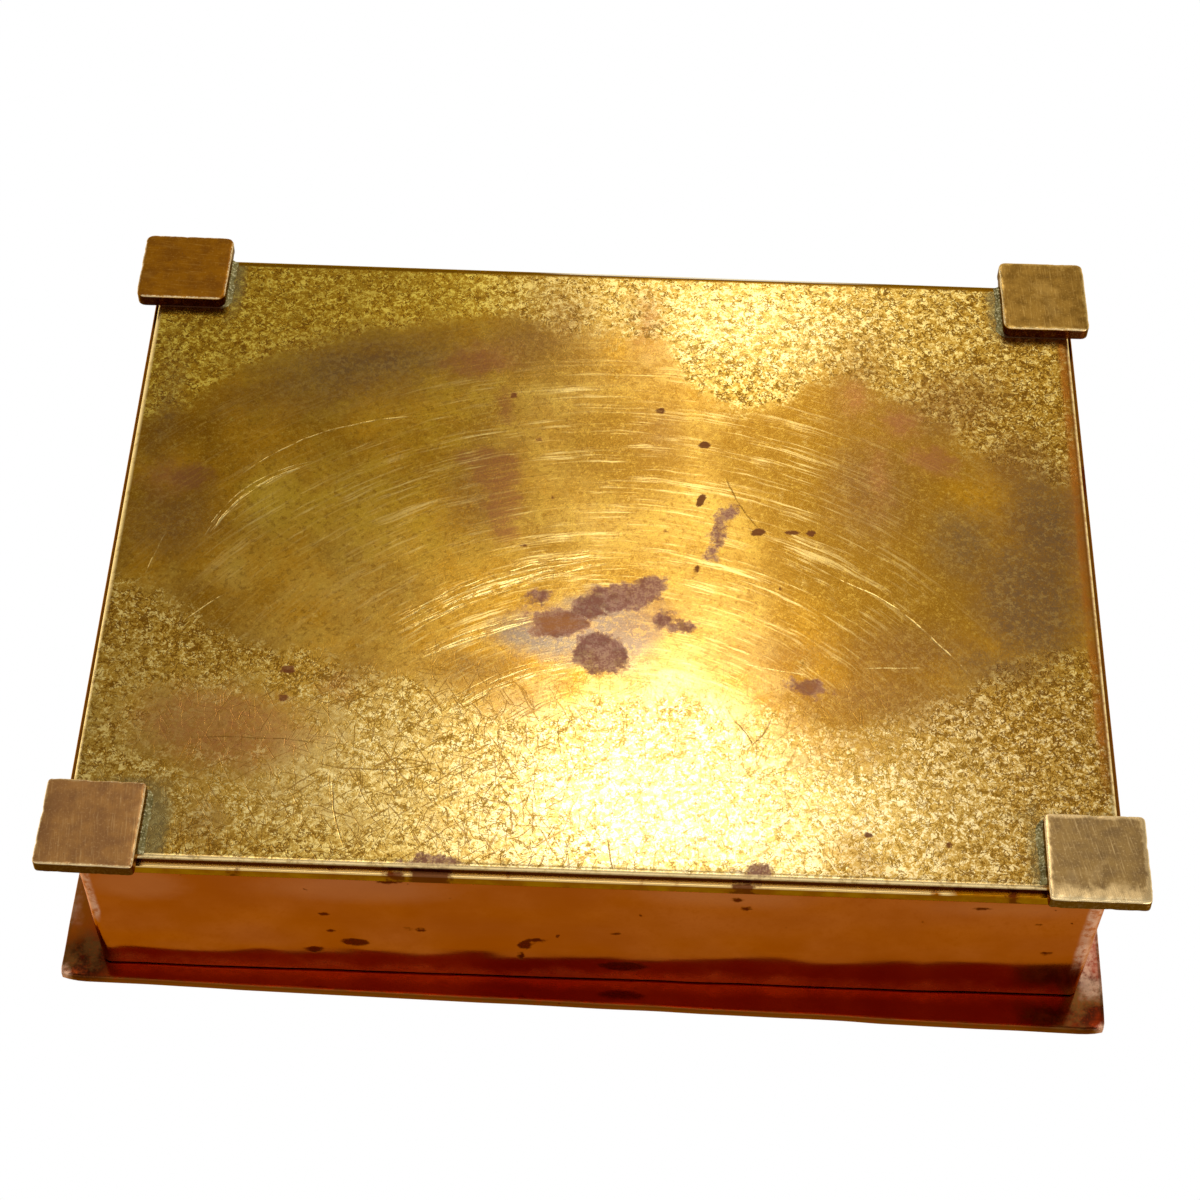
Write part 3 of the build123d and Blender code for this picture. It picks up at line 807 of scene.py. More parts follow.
# Profiles of the plates: inset and height, from the rim of the lower face to the rim of the upper one
SHEET_PROFILE = [
    (0.6, 0.0), (0.4, 0.01), (0.24, 0.05), (0.11, 0.13), (0.03, 0.26), (0.0, 0.4), (0.0, 0.5), (0.0, 1.05),
]
BASE_PROFILE = [
    (0.16, 0), (0.06, 0.03), (0.01, 0.1), (0, 0.22), (0, 1.08), (0.01, 1.2), (0.06, 1.27), (0.16, 1.3),
]
FOOT_PROFILE = [
    (0.15, 0.0), (0.08, 0.02), (0.03, 0.06), (0.01, 0.12), (0.0, 0.2), (0.0, 0.26), (0.0, 1.5), (0.2, 1.5),
]
LID_PROFILE = [
    (0.4, 0), (0.13, 0), (0.05, 0.02), (0.01, 0.07), (0, 0.14), (0, 0.2), (0, 1.0), (0.03, 1.11),
    (0.1, 1.18), (0.22, 1.2),
]


def make_bottom_sheet():
    points, faces = plate_mesh(SHEET_HALF, 0.7, SHEET_PROFILE, 0.5, SHEET_BOTTOM)
    brass = bottom_brass()
    piece = add_piece("bottom_sheet_worn", points, faces, "box", "bottom_brass", brass, ["bottom_sheet"])
    x = points[:, 0] + 1.2 * cloud(points, 9.0, 3.0)
    y = points[:, 1] + 1.2 * cloud(points, 7.0, 11.0)
    below = smooth(points[:, 2], SHEET_BOTTOM + 0.5, SHEET_BOTTOM + 0.1)

    # Crackle beyond the two lines, thinner where it is worn off in front
    behind, before = np.interp(x, *zip(*BACK_LINE)), np.interp(x, *zip(*FRONT_LINE))
    crackle = np.maximum(smooth(y - behind, -2.0, 2.6), smooth(before - y, -2.4, 3.0))
    crackle *= (1 - 0.75 * blob(x, y, 36, -24, 11, 6.5)) * (1 - 0.5 * blob(x, y, -24, -23, 7, 4))
    strong = blob(x, y, 40, -13 + 0.25 * (x - 40), 14, 5.0)
    crackle *= 0.78 + 0.22 * strong + 0.15 * smooth(-x, 20, 30)
    dense = 0.5 * strong - 0.5 * smooth(np.abs(y), 24, 38) * np.exp(-((x + 4) / 26) ** 4)
    dense += 0.4 * smooth(-x, 34, 46)

    # Arcs of fine scratches: the middle, a ring to the right of it, and a weak band all the way across
    centre = np.exp(-((x + 3) / 24) ** 4) * np.exp(-((y - 3) / 24) ** 6)
    outer_arcs = np.exp(-((np.hypot(x, y + 18) - 39) / 5) ** 2) * smooth(x, 8, 22) * smooth(y, -14, -2)
    rubbed = np.clip(centre + 0.45 * outer_arcs + 0.25 * blob(x, y, 0, 0, 42, 14, 4), 0.18, 1)
    rubbed *= (1 - 0.85 * crackle) * (0.8 + 0.3 * cloud(points, 6.0, 5.0))
    hairlines = 0.15 + 0.85 * np.exp(-((x - 20) / 17) ** 4) * smooth(-y, 12, 22) + 0.4 * smooth(-y, 14, 22)

    # Brown film, darker patches, where the brass is lemon yellow, and a painted highlight where it is pale
    tarnish = 0.62 + 0.25 * cloud(points, 16.0, 8.0, 4)
    tarnish += 0.42 * smooth(-x, 12, 25) * np.exp(-((y - 4) / 19) ** 4)
    tarnish += 0.20 * smooth(x, 20, 32) * np.exp(-((y - 8) / 14) ** 4)
    tarnish -= 0.45 * smooth(-y, 16, 30) * np.exp(-((x - 3) / 26) ** 4)
    tarnish -= sum(amount * blob(x, y, *place) for *place, amount in BARE)
    shade = np.max([amount * blob(x, y, *place) for *place, amount in SHADES], axis=0)
    lemon = 0.5 + 0.5 * smooth(y, -9, 5) * smooth(x, 6, 18)
    lemon -= 0.35 * smooth(-y, 12, 20) * smooth(-x, -18, -6)
    # Painted highlight: pale brass where the lamps' reflection is brightest, in front and at the back
    pale = blob(x, y, -5, -28, 17, 13) + 0.55 * blob(x, y, -14, 31, 14, 7)
    pale += 0.45 * blob(x, y, -26, -31, 12, 7) + 0.28 * blob(x, y, 29, -27, 14, 9, 4)
    pale = np.clip(pale * (1 + 0.3 * cloud(points, 5.0, 14.0)), 0, 1)

    paint(piece, crackle=crackle * below, dense=dense, pale=pale, rubbed=np.clip(rubbed, 0, 1) * below,
          tarnish=tarnish, shade=shade, lemon=lemon, hairlines=np.clip(hairlines, 0, 1) * below,
          rim=rim_distance(points, SHEET_HALF))
    paint(piece, **{name: spots(points, places) for name, places in MARKS.items()})


BASE_STAINS = [
    (15.3, -39, 2.1, 1.6), (18.6, -39.2, 1, 0.5), (-14.4, -39.2, 1.3, 0.7), (34, -39.2, 0.6, 0.3),
    (-40, -39.2, 0.8, 0.5), (20, 39.2, 1.6, 1), (-50.8, 12, 0.9, 2),
]


def make_base_plate():
    points, faces = plate_mesh(BASE_HALF, 0.7, BASE_PROFILE, 0.9, BASE_BOTTOM)
    brass = plate_brass()
    piece = add_piece("base_plate_edge", points, faces, "box", "plate_brass", brass, ["base_plate"])
    x, y, z = points.T
    ledge = (y < -38.5) * (x > -34) * (x < 43) * (z < BASE_BOTTOM + 0.12)
    flank = (np.abs(x) > 50.0) * (np.abs(y) < 38.6)
    upper = smooth(z, FLOOR_HEIGHT - 0.1, FLOOR_HEIGHT - 0.02)
    paint(piece, stain=spots(points, BASE_STAINS), ledge=ledge, flank=flank, upper=upper)


# Looks of the feet: worn colour, patina, dark patina, painted shade on the sides, reach of the wear, turn of
# the brush marks
FOOT_LOOKS = {
    "foot_front_left": (
        (0.84, 0.57, 0.25), (0.35, 0.205, 0.064), (0.20, 0.115, 0.045), (0.12, 0.043, 0.007), 0.52, 78),
    "foot_front_right": (
        (0.68, 0.41, 0.16), (0.42, 0.195, 0.055), (0.26, 0.115, 0.042), (0.075, 0.018, 0.004), 0.18, 86),
    "foot_back_left": (
        (0.76, 0.46, 0.12), (0.35, 0.180, 0.030), (0.155, 0.070, 0.010), (0.062, 0.007, 0.001), 0.32, 88),
    "foot_back_right": (
        (0.55, 0.28, 0.05), (0.33, 0.120, 0.005), (0.20, 0.065, 0.006), (0.030, 0.001, 0.001), 0.12, 5),
}


def make_foot(name):
    """A foot with a patina; small dents are worn into its lower rim."""
    middle_x, middle_y, *half, turn, corner = FEET[name]
    middle = np.array((middle_x, middle_y, 0))
    points, faces = plate_mesh(half, corner, FOOT_PROFILE, 0.28)
    rim = rim_distance(points, half)
    if name == "foot_front_left":
        rim = np.minimum(rim, 0.30 * (points[:, 1] + half[1]))
    lumps = cloud(points + middle, 2.6, 4.0)
    dents = np.clip(cloud(points + middle, 1.1, 9.0), 0, 1) * smooth(rim, 0.6, 0.0)
    worn = np.clip(0.02 * lumps + 0.10 * dents, 0, 1)
    shape = points.copy()
    shape[:, 2] += np.where(points[:, 2] < 0.5, (worn + 0.01) * smooth(rim, 1.2, 0.1), 0)
    shape[:, :2] -= np.sign(points[:, :2]) * (worn * smooth(rim, 0.8, 0.0))[:, None]
    material = foot_brass("foot_brass_" + name[5:], *FOOT_LOOKS[name])
    shape = turned(shape, turn) + middle
    piece = add_piece(name + "_worn", shape, faces, "box", "foot_brass", material, [name])
    # side is 1 on the foot's sides, where the material lays painted shade
    paint(piece, rim=rim, side=smooth(points[:, 2], 0.10, 0.24))


# How far the solder runs past the middle of a foot, and its width, along the side and in front
SIDE_BEAD = (2.35, 0.66)
FRONT_BEAD = (2.2, 0.13)

# Hollow face of the bead: shares of its width and height
BEAD_CURVE = ((0.08, 0.86), (0.35, 0.42), (0.7, 0.16))


def solder_path(half_x, half_y, corner):
    """Places, outward directions and widths along the bead of a foot whose inner corner is at +X, +Y."""
    straight_x, straight_y = half_x - corner, half_y - corner
    for t in np.linspace(0, 1, 26):
        yield half_x, t * (SIDE_BEAD[0] + straight_y) - SIDE_BEAD[0], (1, 0), SIDE_BEAD[1]
    for t in np.linspace(0.15, 0.85, 5):
        across, along = math.cos(t * math.pi / 2), math.sin(t * math.pi / 2)
        yield straight_x + corner * across, straight_y + corner * along, (across, along), 0.55 - 0.45 * t
    for t in np.linspace(0, 1, 20):
        yield straight_x - t * (straight_x + FRONT_BEAD[0]), half_y, (0, 1), FRONT_BEAD[1]


def make_foot_solder():
    """A bead of solder along the inner sides of each foot, fuller beside the foot than in front of it."""
    parts = []
    for order, (middle_x, middle_y, half_x, half_y, turn, corner) in enumerate(FEET.values()):
        side_x, side_y = -math.copysign(1, middle_x), -math.copysign(1, middle_y)
        rings = []
        for x, y, (out_x, out_y), size in solder_path(half_x, half_y, corner):
            x, y, out_x, out_y = side_x * x, side_y * y, side_x * out_x, side_y * out_y
            rough = noise.noise(Vector((0.9 * x + 5 * order, 0.9 * y, order)))
            fine = noise.noise(Vector((2.7 * x, 2.7 * y + 3 * order, 1.0)))
            width = size * (0.85 + 0.35 * rough + 0.15 * fine)
            height = 0.10 + 0.45 * size * (0.8 + 0.5 * rough)
            curve = [(share * width, -drop * height) for share, drop in BEAD_CURVE]
            section = [(-0.12, 0.02), (-0.12, -height), *curve, (width, -0.03), (width, 0.02)]
            rings.append([(x + out_x * off, y + out_y * off, SHEET_BOTTOM + lift) for off, lift in section])
        count, size = len(rings), len(rings[0])
        points = turned(np.array(rings).reshape(-1, 3), turn) + np.array((middle_x, middle_y, 0))
        faces = [tuple(range(size)), tuple((count - 1) * size + k for k in reversed(range(size)))]
        for a in range(0, (count - 1) * size, size):
            for k in range(size):
                n = (k + 1) % size
                faces.append((a + k, a + n, a + size + n, a + size + k))
        parts.append((points, faces))
    points, faces = join_meshes(parts)
    solder = solder_metal()
    piece = add_piece("foot_solder_beads", points, faces, "box", "foot_solder", solder, ["foot_solder"])
    # Painted shade on the bead that runs along X beside each foot's inner edge
    clear = np.abs(np.abs(points[:, 1]) - 31.4)
    paint(piece, soot=smooth(clear, 0.45, 0.25) * smooth(np.abs(points[:, 0]), 42.6, 43.4))


def wall_outline(half_x, half_y, corner):
    """Points and outward directions round the wall, with a point exactly at each end of the notch."""
    straight_x, straight_y = half_x - corner, half_y - corner
    spans = []

    def run(start, stop, direction, parts):
        for t in np.linspace(0, 1, parts, endpoint=False):
            x, y = start[0] + t * (stop[0] - start[0]), start[1] + t * (stop[1] - start[1])
            spans.append((x, y, *direction))

    def bend(middle, first):
        for t in np.linspace(0, 90, 6, endpoint=False):
            c, s = math.cos(math.radians(first + t)), math.sin(math.radians(first + t))
            spans.append((middle[0] + corner * c, middle[1] + corner * s, c, s))

    run((-straight_x, -half_y), (straight_x, -half_y), (0, -1), 200)
    bend((straight_x, -straight_y), -90)
    run((half_x, -straight_y), (half_x, straight_y), (1, 0), 50)
    bend((straight_x, straight_y), 0)
    run((straight_x, half_y), (NOTCH_HALF, half_y), (0, 1), 16)
    run((NOTCH_HALF, half_y), (-NOTCH_HALF, half_y), (0, 1), 48)
    run((-NOTCH_HALF, half_y), (-straight_x, half_y), (0, 1), 16)
    bend((-straight_x, straight_y), 90)
    run((-half_x, straight_y), (-half_x, -straight_y), (-1, 0), 50)
    bend((-straight_x, -straight_y), 180)
    return np.array(spans)


# Dark spots on the wall: place, half width, half height
WALL_SPOTS = [
    (23.4, -38, 18.1, 1.15, 0.55), (27.6, -38, 20, 0.8, 0.45), (25.7, -38, 16, 0.4, 0.25),
    (26.2, -38, 12.7, 0.45, 0.25), (16.8, -38, 15.2, 0.45, 0.3), (18.2, -38, 15.1, 0.3, 0.2),
    (6.5, -38, 17.6, 0.6, 0.6), (5.3, -38, 16.5, 0.75, 0.3), (6.9, -38, 19.8, 0.3, 0.5),
    (-2.6, -38, 14.8, 0.4, 0.2), (-3.4, -38, 21.2, 2, 0.7), (19.5, -38, 6, 1, 0.35),
    (-14, -38, 7, 0.5, 0.3), (-15, -38, 8.6, 0.5, 0.3), (-45, -38, 15.5, 0.5, 0.25),
    (-37.5, -38, 7.2, 0.6, 0.2), (-43.5, -38, 10, 0.3, 0.2), (32, -38, 5.4, 0.6, 0.2),
    (-49.5, 12, 10, 0.7, 0.6), (-49.5, -22, 17, 0.9, 0.4), (49.5, 5, 14, 0.7, 0.5),
    (49.5, -18, 8, 1.2, 0.4), (40, 38, 11, 0.8, 0.5), (-12, 38, 9, 1.1, 0.4),
]

# Painted reflection: paler, redder patches low on the wall, seen from the front: middle, half sizes
WALL_SHEEN = [(22.5, 7.6, 9.5, 2.6), (-13, 6.6, 8, 2), (44, 8, 5, 3), (-40, 7, 8, 1.6)]


def make_wall_band():
    """The bent strip with its beaten waves, a dent low in front and the notch for the hinge."""
    outline = wall_outline(*WALL_HALF, 1.0)
    below_notch = np.linspace(FLOOR_HEIGHT, NOTCH_BOTTOM, 32, endpoint=False)
    heights = np.concatenate([below_notch, np.linspace(NOTCH_BOTTOM, WALL_TOP, 5)])
    columns, rows = len(outline), len(heights)
    flat = np.zeros((columns, rows, 3))
    flat[:, :, :2] = outline[:, None, :2]
    flat[:, :, 2] = heights
    outward = np.zeros((columns, rows, 3))
    outward[:, :, :2] = outline[:, None, 2:]
    x, y, z = np.moveaxis(flat, 2, 0)

    def waves(size, seed, squeeze):
        """Waves over the wall, squeezed along Z."""
        return cloud(flat.reshape(-1, 3) * (1.0, 1.0, squeeze), size, seed, 2).reshape(columns, rows)

    push = 0.13 * waves(15.0, 2.0, 1.5) + 0.055 * waves(6.0, 6.0, 0.7)
    push += 0.05 * np.exp(-((z - 20.5) / 2.2) ** 2) * waves(7.0, 21.0, 2.0)
    push -= 0.22 * blob(x, z, 22, 4.0, 7.0, 2.6) * (y < -37)
    push[(np.abs(x) < NOTCH_HALF + 4) & (y > 37)] = 0.0
    outer = flat + outward * push[:, :, None]
    inner = flat + outward * (push - WALL_THICKNESS)[:, :, None]
    keep = np.ones((columns, rows - 1), bool)
    start_x, start_y = outline[:, 0], outline[:, 1]
    notch = (start_x < NOTCH_HALF + 0.01) & (start_x > -NOTCH_HALF + 0.01) & (start_y > 37)
    keep[notch, len(below_notch):] = False
    points, faces = layered_mesh(outer, inner, keep, True)

    # The two values after the rim reach give the colour and strength of the painted reflection low on the
    # wall
    red = copper("wall_copper", (0.62, 0.162, 0.030), (0.50, 0.112, 0.018), (0.72, 0.270, 0.050), 0.5,
                 (0.78, 0.30, 0.11), 0.30)
    piece = add_piece("wall_band_beaten", points, faces, "box", "wall_copper", red, ["wall_band"],
                      SHEET_SHARP)
    round_rims(piece, 0.14, 2)
    x, y, z = points.T
    nearest = np.full(len(points), OUTSIDE)
    for spot_x, spot_y, spot_z, wide, high in WALL_SPOTS:
        across, off = (x - spot_x) / (1.2 * wide), (y - spot_y) / 0.5
        if abs(spot_y) < WALL_HALF[1]:
            across, off = (y - spot_y) / (1.2 * wide), (x - spot_x) / 0.5
        reach = np.sqrt(across ** 2 + off ** 2 + ((z - spot_z) / (1.3 * high)) ** 2)
        nearest = np.maximum(nearest, (1 - reach) * min(wide, high))

    # Painted highlight on the rounded corners, as a light strip: low down on the right, higher up on the
    # left, and weaker at the back
    right, left = smooth(x, 0, 1), smooth(-x, 0, 1)
    corner_reach = np.hypot(WALL_HALF[0] - np.abs(x), WALL_HALF[1] - np.abs(y)) / (1.25 + 0.65 * left)
    worn = smooth(corner_reach, 1.15, 0.65) * (0.85 + 0.4 * cloud(points, 3.0, 1.0))
    worn *= (right * smooth(z, 18.5, 12.5) + left * smooth(z, 23.5, 15.0)) * smooth(z, 3.8, 6.5)
    worn *= 0.45 + 0.55 * smooth(-y, -1, 1)
    # Painted shade mixed with grime: dark at the front corner at +X, and a little darker towards the top,
    # under the lid
    grime = spots(points, [(WALL_HALF[0], -WALL_HALF[1], 2.4, 2.4)]) + 1.2 * smooth(z, 16.0, 21.0) - 2.4
    paint(piece, rim=np.minimum(z - FLOOR_HEIGHT + 0.2, 0.2 * (WALL_TOP - z)), spot=nearest, worn=worn,
          blush=spots(points[:, (0, 2, 1)], WALL_SHEEN), grime=grime)


# Bent corners of the lid: which corner, how far in the bend starts, how far it drops
LID_CORNERS = [(1, -1, 2.6, 0.34), (-1, -1, 2.4, 0.22), (1, 1, 2.0, 0.12), (-1, 1, 2.2, 0.16)]
LID_SPOTS = [(20, -10, 1.2, 0.8), (-31, 14, 0.8, 0.6), (-8, -26, 1.5, 0.6, 30), (40, 22, 0.7, 0.9)]
# Dark corners of the lid: grime, with painted shade where they meet the wall's corners
LID_GRIME_AND_SHADE = [
    (50.4, -38.8, 3.0, 3.0), (-51, -37.6, 2.6, 4.6), (-47.5, -39.4, 4.0, 1.7), (-50.5, 38, 2.4, 3.0),
]
LID_BLUSH = [(51.8, -26.0, 2.4, 13.0)]
LID_TOP_TINTS = ((0.66, 0.275, 0.125), (0.47, 0.160, 0.062), (0.25, 0.088, 0.036))


def make_lid_plate():
    """The lid, beaten and a little wavy, flat where the hinge sits, with bent corners."""
    points, faces = plate_mesh(LID_HALF, 0.45, LID_PROFILE, 0.85, LID_BOTTOM)
    x, y, z = points.T
    rim = rim_distance(points, LID_HALF)
    upper = z > (LID_BOTTOM + LID_TOP) / 2
    slow, planish = cloud(points, 24.0, 5.0, 2), cloud(points, 5.5, 12.0, 2)
    lift = np.where(upper, -0.10 + 0.06 * slow + 0.022 * planish, 0.05 * slow + 0.012 * planish)
    shape = points.copy()
    shape[:, 2] += lift * smooth(np.maximum(np.abs(x) - 34, 26 - y), 0.0, 4.0)
    inward = np.clip((0.03 + 0.10 * cloud(points, 12.0, 7.0, 2)) * smooth(rim, 0.7, 0.0), 0, 1)
    for axis in (0, 1):
        at_rim = LID_HALF[axis] - np.abs(points[:, axis]) < 0.7
        shape[:, axis] -= np.sign(points[:, axis]) * inward * at_rim
    crumpled = 1 + 0.6 * cloud(points, 0.9, 3.0, 2)
    worn = np.zeros(len(points))
    for corner_x, corner_y, reach, drop in LID_CORNERS:
        away = np.hypot(x - corner_x * LID_HALF[0], y - corner_y * LID_HALF[1])
        bend = smooth(away, reach, 0.0)
        shape[:, 2] -= drop * bend * crumpled
        shape[:, 0] -= 0.08 * corner_x * bend
        shape[:, 1] -= 0.08 * corner_y * bend
        worn = np.maximum(worn, smooth(away, 0.75 * reach, 0.1))
    red = copper("lid_copper", (0.46, 0.074, 0.006), (0.34, 0.028, 0.003), (0.125, 0.062, 0.010),
                 0.40, (0.30, 0.105, 0.004), 0.65, LID_TOP_TINTS)
    shape = turned(shape, LID_TURN)
    piece = add_piece("lid_plate_planished", shape, faces, "lid", "lid_copper", red, ["lid_plate"])
    strip = 0.62 * smooth(-x, 49.8, 50.8) * smooth(y, -39.0, -35.0)
    strip += 0.42 * smooth(x, 51.2, 51.9) * smooth(y, -38.0, -33.0)
    paint(piece, rim=rim, worn=np.maximum(worn, strip * (1 + 0.4 * cloud(points, 2.0, 6.0))),
          grime=spots(points, LID_GRIME_AND_SHADE), blush=np.where(upper, OUTSIDE, spots(points, LID_BLUSH)),
          spot=spots(points, LID_SPOTS), upper=smooth(z, LID_TOP - 0.3, LID_TOP - 0.12))


RIVET_RADIUS = 0.6
RIVET_GRIP = 1.45
RIVET_DROP = 6.6
RIVET_INSET = 5.6


def make_rivets():
    """Domed heads with small hammer marks: through the back wall, and through the lid."""
    dome = [(1.15 * math.cos(t), 0.5 * math.sin(t)) for t in np.linspace(0, math.pi / 2, 6)]
    shank = [(RIVET_RADIUS, 0.0), (RIVET_RADIUS, RIVET_GRIP)]
    both = [(r, -h) for r, h in reversed(dome)] + shank + [(r, RIVET_GRIP + h) for r, h in dome]
    flush = [(RIVET_RADIUS, -1.7), (RIVET_RADIUS, -0.5), (1.12, -0.02), (0.9, 0.03), (0.0, 0.03)]
    lower = [(r, -1.75 - h) for r, h in reversed(dome)]
    countersunk = [(0.0, lower[0][1])] + lower[1:] + [(RIVET_RADIUS, -1.75)] + flush
    wall_parts, lid_parts = [], []
    for order, x in enumerate(RIVETS_X):
        points, faces = lathe(both, 28, 0.12, 2.0 * order)
        height = HINGE_AXIS[1] - RIVET_DROP + points[:, 1]
        wall_parts.append((np.stack([points[:, 0] + x, WALL_HALF[1] - points[:, 2], height], 1), faces))
        points, faces = lathe(countersunk, 28, 0.0, 3.0 * order)
        lid_parts.append((points + np.array((x, HINGE_AXIS[0] - RIVET_INSET, LID_TOP - 0.045)), faces))
    material = satin("rivet_copper", (0.80, 0.33, 0.10), (0.48, 0.17, 0.04), (1.2, 1.2, 1.2), 0.16)
    for body, parts, where in (("box", wall_parts, "box_rivet"), ("lid", lid_parts, "lid_rivet")):
        add_piece(where + "_heads", *join_meshes(parts), body, "rivet_copper", material, [where + "s"])


# The lining: sheet of the dividers and scoops, its play in the box, and how high it goes
DIVIDER = 0.8
SCOOP = 0.5
PLAY = 0.05
SCOOP_RISE = 8.0
DIVIDER_TOP = FLOOR_HEIGHT + 17.2
DIP = 5.5
DIP_HALF = 22.0

# Hinge leaf on the back wall: how far its face is from the wall, and where it ends below the barrel
LEAF_FACE = 0.55 + 0.1
LEAF_END = 1.2 + 8.4 + 0.25


def arc_radius(half, rise):
    """Radius of an arc from its half width and its rise."""
    return (half ** 2 + rise ** 2) / (2 * rise)


def make_lining():
    """The three curved scoops and the two dividers inside the box."""
    inner_x, inner_y = WALL_HALF[0] - WALL_THICKNESS, WALL_HALF[1] - WALL_THICKNESS
    compartment = (2 * inner_x - 2 * DIVIDER) / 3
    half = inner_y - PLAY
    radius = arc_radius(half, SCOOP_RISE)
    brass = satin("scoop_brass", (0.78, 0.52, 0.14), (0.52, 0.31, 0.06), (3.2, 0.12, 0.4), 0.18)
    red = satin("divider_copper", (0.82, 0.33, 0.10), (0.56, 0.19, 0.04), (0.2, 0.15, 2.6), 0.16)
    profile = [(0.08, 0.0), (0.0, 0.08), (0.0, SCOOP - 0.08), (0.08, SCOOP)]
    for side, name in enumerate(("stamp_scoop_left", "stamp_scoop_middle", "stamp_scoop_right"), -1):
        points, faces = plate_mesh((compartment / 2 - PLAY, half), 0.6, profile, 1.1)
        points[:, 2] += FLOOR_HEIGHT + radius - np.sqrt(radius ** 2 - points[:, 1] ** 2)
        points[:, 0] += side * (compartment + DIVIDER)
        add_piece(name + "_bent", points, faces, "box", "scoop_brass", brass, [name])

    # One divider in the plane x = 0: its top dips, and its back edge is cut away for the hinge leaf
    leaf_end = HINGE_AXIS[1] - LEAF_END
    dip_radius = arc_radius(DIP_HALF, DIP)
    ys = np.concatenate([np.linspace(-half, inner_y - LEAF_FACE, 90), [half]])
    lower_rows = np.linspace(FLOOR_HEIGHT, leaf_end, 7, endpoint=False)
    rows = np.concatenate([lower_rows, np.linspace(leaf_end, DIVIDER_TOP, 8)])
    drop = np.sqrt(np.maximum(dip_radius ** 2 - ys ** 2, 0)) - (dip_radius - DIP)
    drop = np.where(np.abs(ys) < DIP_HALF, np.maximum(drop, 0), 0)
    share = np.clip((rows - leaf_end) / (DIVIDER_TOP - leaf_end), 0, 1)
    grid = np.zeros((len(ys), len(rows), 3))
    grid[:, :, 1] = ys[:, None]
    grid[:, :, 2] = rows - drop[:, None] * share
    keep = np.ones((len(ys) - 1, len(rows) - 1), bool)
    keep[-1, len(lower_rows):] = False
    offset = np.array((DIVIDER / 2, 0, 0))
    for side, name in ((-1, "divider_left"), (1, "divider_right")):
        points, faces = layered_mesh(grid + offset, grid - offset, keep, False)
        points[:, 0] += side * (compartment + DIVIDER) / 2
        piece = add_piece(name + "_sheet", points, faces, "box", "divider_copper", red, [name], SHEET_SHARP)
        round_rims(piece, 0.16, 3)


def dress_hinge():
    """The hinge keeps its CAD solids and gets satin brass."""
    brass = satin("hinge_brass", (0.76, 0.50, 0.13), (0.50, 0.30, 0.06), (0.2, 2.0, 2.0), 0.17)
    for name in ("hinge_leaf_box", "hinge_leaf_lid", "hinge_pin"):
        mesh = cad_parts[name].data
        for index in range(len(mesh.materials)):
            mesh.materials[index] = brass


make_bottom_sheet()
make_base_plate()
for foot_name in FEET:
    make_foot(foot_name)
make_foot_solder()
make_wall_band()
make_lid_plate()
make_rivets()
make_lining()
dress_hinge()


# Camera: below the upright box, looking up at its bottom and front

camera = bpy.data.objects.new("camera", bpy.data.cameras.new("camera"))
bpy.context.scene.collection.objects.link(camera)
camera.data.lens = 77.93
camera.data.sensor_width = 36.0
camera.data.clip_start, camera.data.clip_end = 0.01, 20.0
camera.location = Vector((-0.868, -164.117, -210.427)) * MM
AIM = Vector((0.256, -6.85, 1.5)) * MM
CAMERA_ROLL = -178.33
look = (AIM - camera.location).to_track_quat("-Z", "Y").to_matrix().to_4x4()
camera.rotation_euler = (look @ Matrix.Rotation(math.radians(CAMERA_ROLL), 4, "Z")).to_euler()
bpy.context.scene.camera = camera


# Floor, world and lamps

def make_floor():
    """A pale floor, solid from above; once a ray has come up through it, it is clear like glass."""
    mesh = bpy.data.meshes.new("floor")
    half, low = 3.0, -0.00004
    corners = [(-half, -half, low), (half, -half, low), (half, half, low), (-half, half, low)]
    mesh.from_pydata(corners, [], [(0, 1, 2, 3)])
    material = bpy.data.materials.new("floor")
    material.use_nodes = True
    material.node_tree.nodes.clear()
    n = Nodes(material.node_tree)
    above = n.math("LESS_THAN", n.node("LightPath")["Transparent Depth"], 0.5)
    solid = n.math("SUBTRACT", above, n.node("NewGeometry")["Backfacing"], clamp=True)
    clear, pale = n.node("BsdfTransparent")[0], n.node("BsdfDiffuse", {"Color": (0.86, 0.86, 0.86)})[0]
    n.node("OutputMaterial", {"Surface": n.node("MixShader", (solid, clear, pale))[0]})
    mesh.materials.append(material)
    floor = bpy.data.objects.new("floor", mesh)
    bpy.context.scene.collection.objects.link(floor)


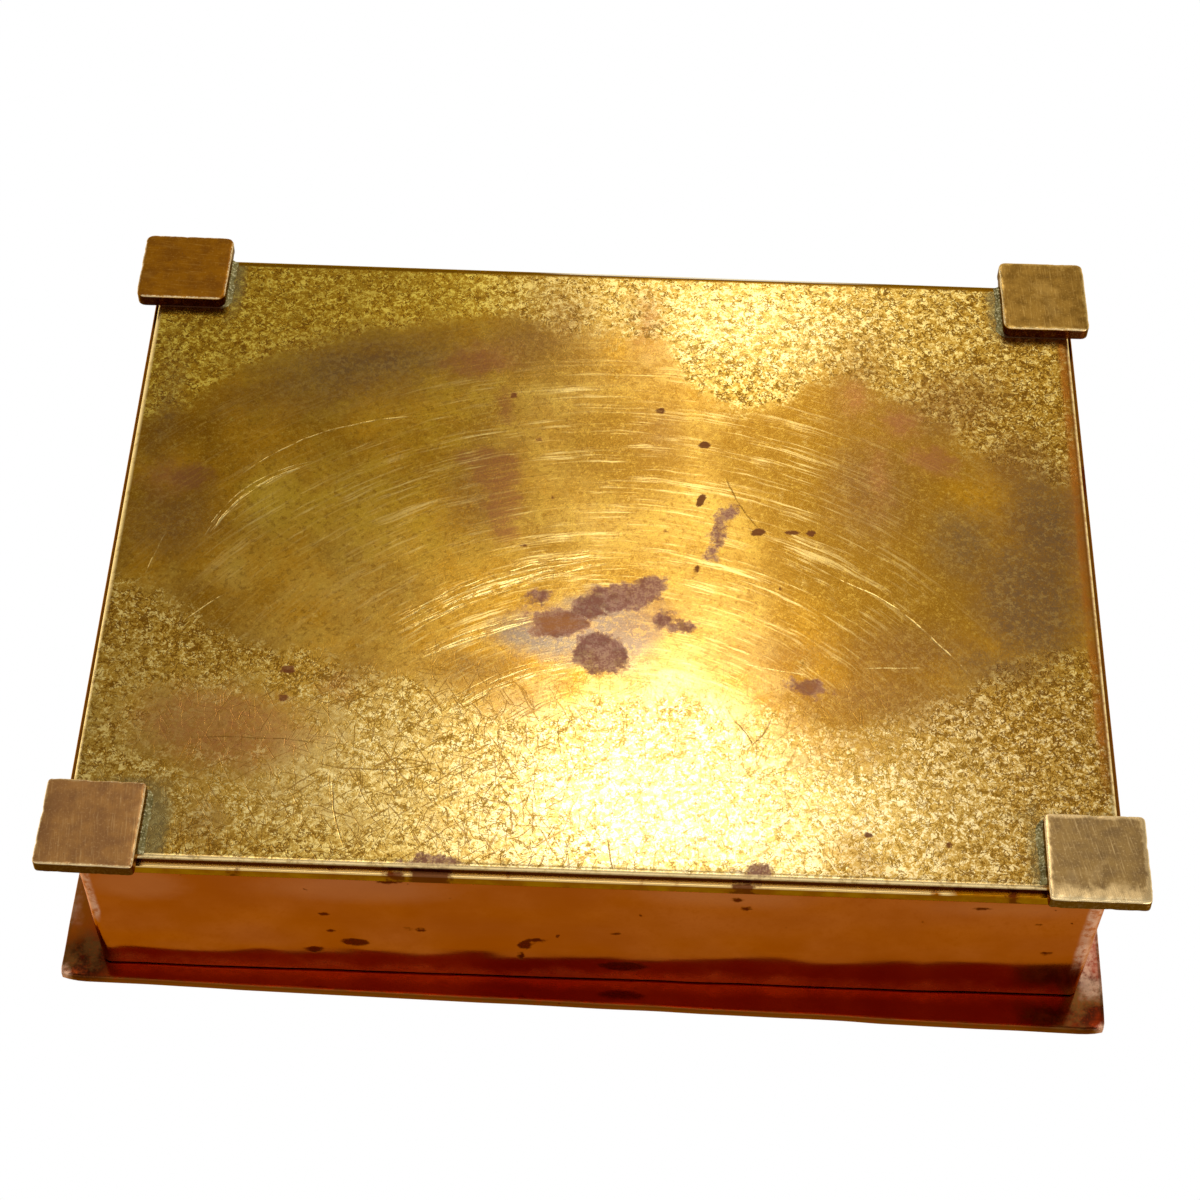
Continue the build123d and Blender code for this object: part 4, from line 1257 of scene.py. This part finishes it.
# How bright the room is in each direction: direction, how far it is stretched along X,
# cosines at which it fades in and is full, brightness
ROOM = [
    ((0, -0.6, 0.8), 1, 0.55, 0.85, 0.50),
    ((0, 0.6, -0.8), 1, 0.80, 0.93, 0.44),
    ((-0.046, 0.479, -0.876), 1, 0.974, 0.9994, 1.25),
    ((-0.09, 0.715, -0.693), 1, 0.9877, 0.9994, 1.3),
    ((0, -0.08, -1), 1, 0.955, 0.985, 2),
    ((0, -0.47, -0.88), 3, 0.9877, 0.9969, 0.42),
]


def make_world():
    """White for the camera; for the metal a room with lighter and darker parts."""
    world = bpy.data.worlds.new("studio")
    world.use_nodes = True
    bpy.context.scene.world = world
    world.node_tree.nodes.clear()
    n = Nodes(world.node_tree)
    direction = n.node("TexCoord")["Generated"]
    level = n.step(n.math("ABSOLUTE", n.split(direction)["Z"]), 0.25, 0.75, 0.95, 0.55)
    for toward, stretch, low, high, brightness in ROOM:
        unit = n.vector("NORMALIZE", n.vector("MULTIPLY", direction, (1 / stretch, 1, 1)))
        near = n.step(n.vector("DOT_PRODUCT", unit, Vector(toward).normalized()), low, high)
        level = n.node("Mix", {0: near, 2: level, 3: brightness})[0]
    strength = n.top(n.node("LightPath")["Is Camera Ray"], level)
    n.node("OutputWorld", {"Surface": n.node("Background", {"Color": (1, 1, 1), "Strength": strength})[0]})


def add_lamp(name, place, aim, size, power):
    """A soft rectangular lamp; places in millimetres."""
    data = bpy.data.lights.new(name, "AREA")
    data.shape = "RECTANGLE"
    data.size, data.size_y = size[0] * MM, size[1] * MM
    data.energy = power
    lamp = bpy.data.objects.new(name, data)
    bpy.context.scene.collection.objects.link(lamp)
    lamp.location = Vector(place) * MM
    lamp.rotation_mode = "QUATERNION"
    lamp.rotation_quaternion = (Vector(aim) * MM - lamp.location).to_track_quat("-Z", "Y")
    lamp.visible_camera = False


make_floor()
make_world()
add_lamp("strip_core", (-14, 362, -600), (-5, -29, 1), (34, 62), 0.055)
add_lamp("strip_halo", (-16, 365, -600), (-5, -29, 1), (130, 130), 0.07)
add_lamp("strip_middle", (-26, 480, -600), (-6, 0, 1), (60, 240), 0.045)
add_lamp("strip_far", (-52, 596, -600), (-13, 33, 1), (100, 80), 0.05)
add_lamp("key", (-990, -1050, 690), (0, 0, 15), (1000, 1000), 7.0)
add_lamp("fill", (1200, 500, 900), (0, 0, 15), (1200, 1200), 4.5)

bpy.context.scene.view_settings.view_transform = "Standard"
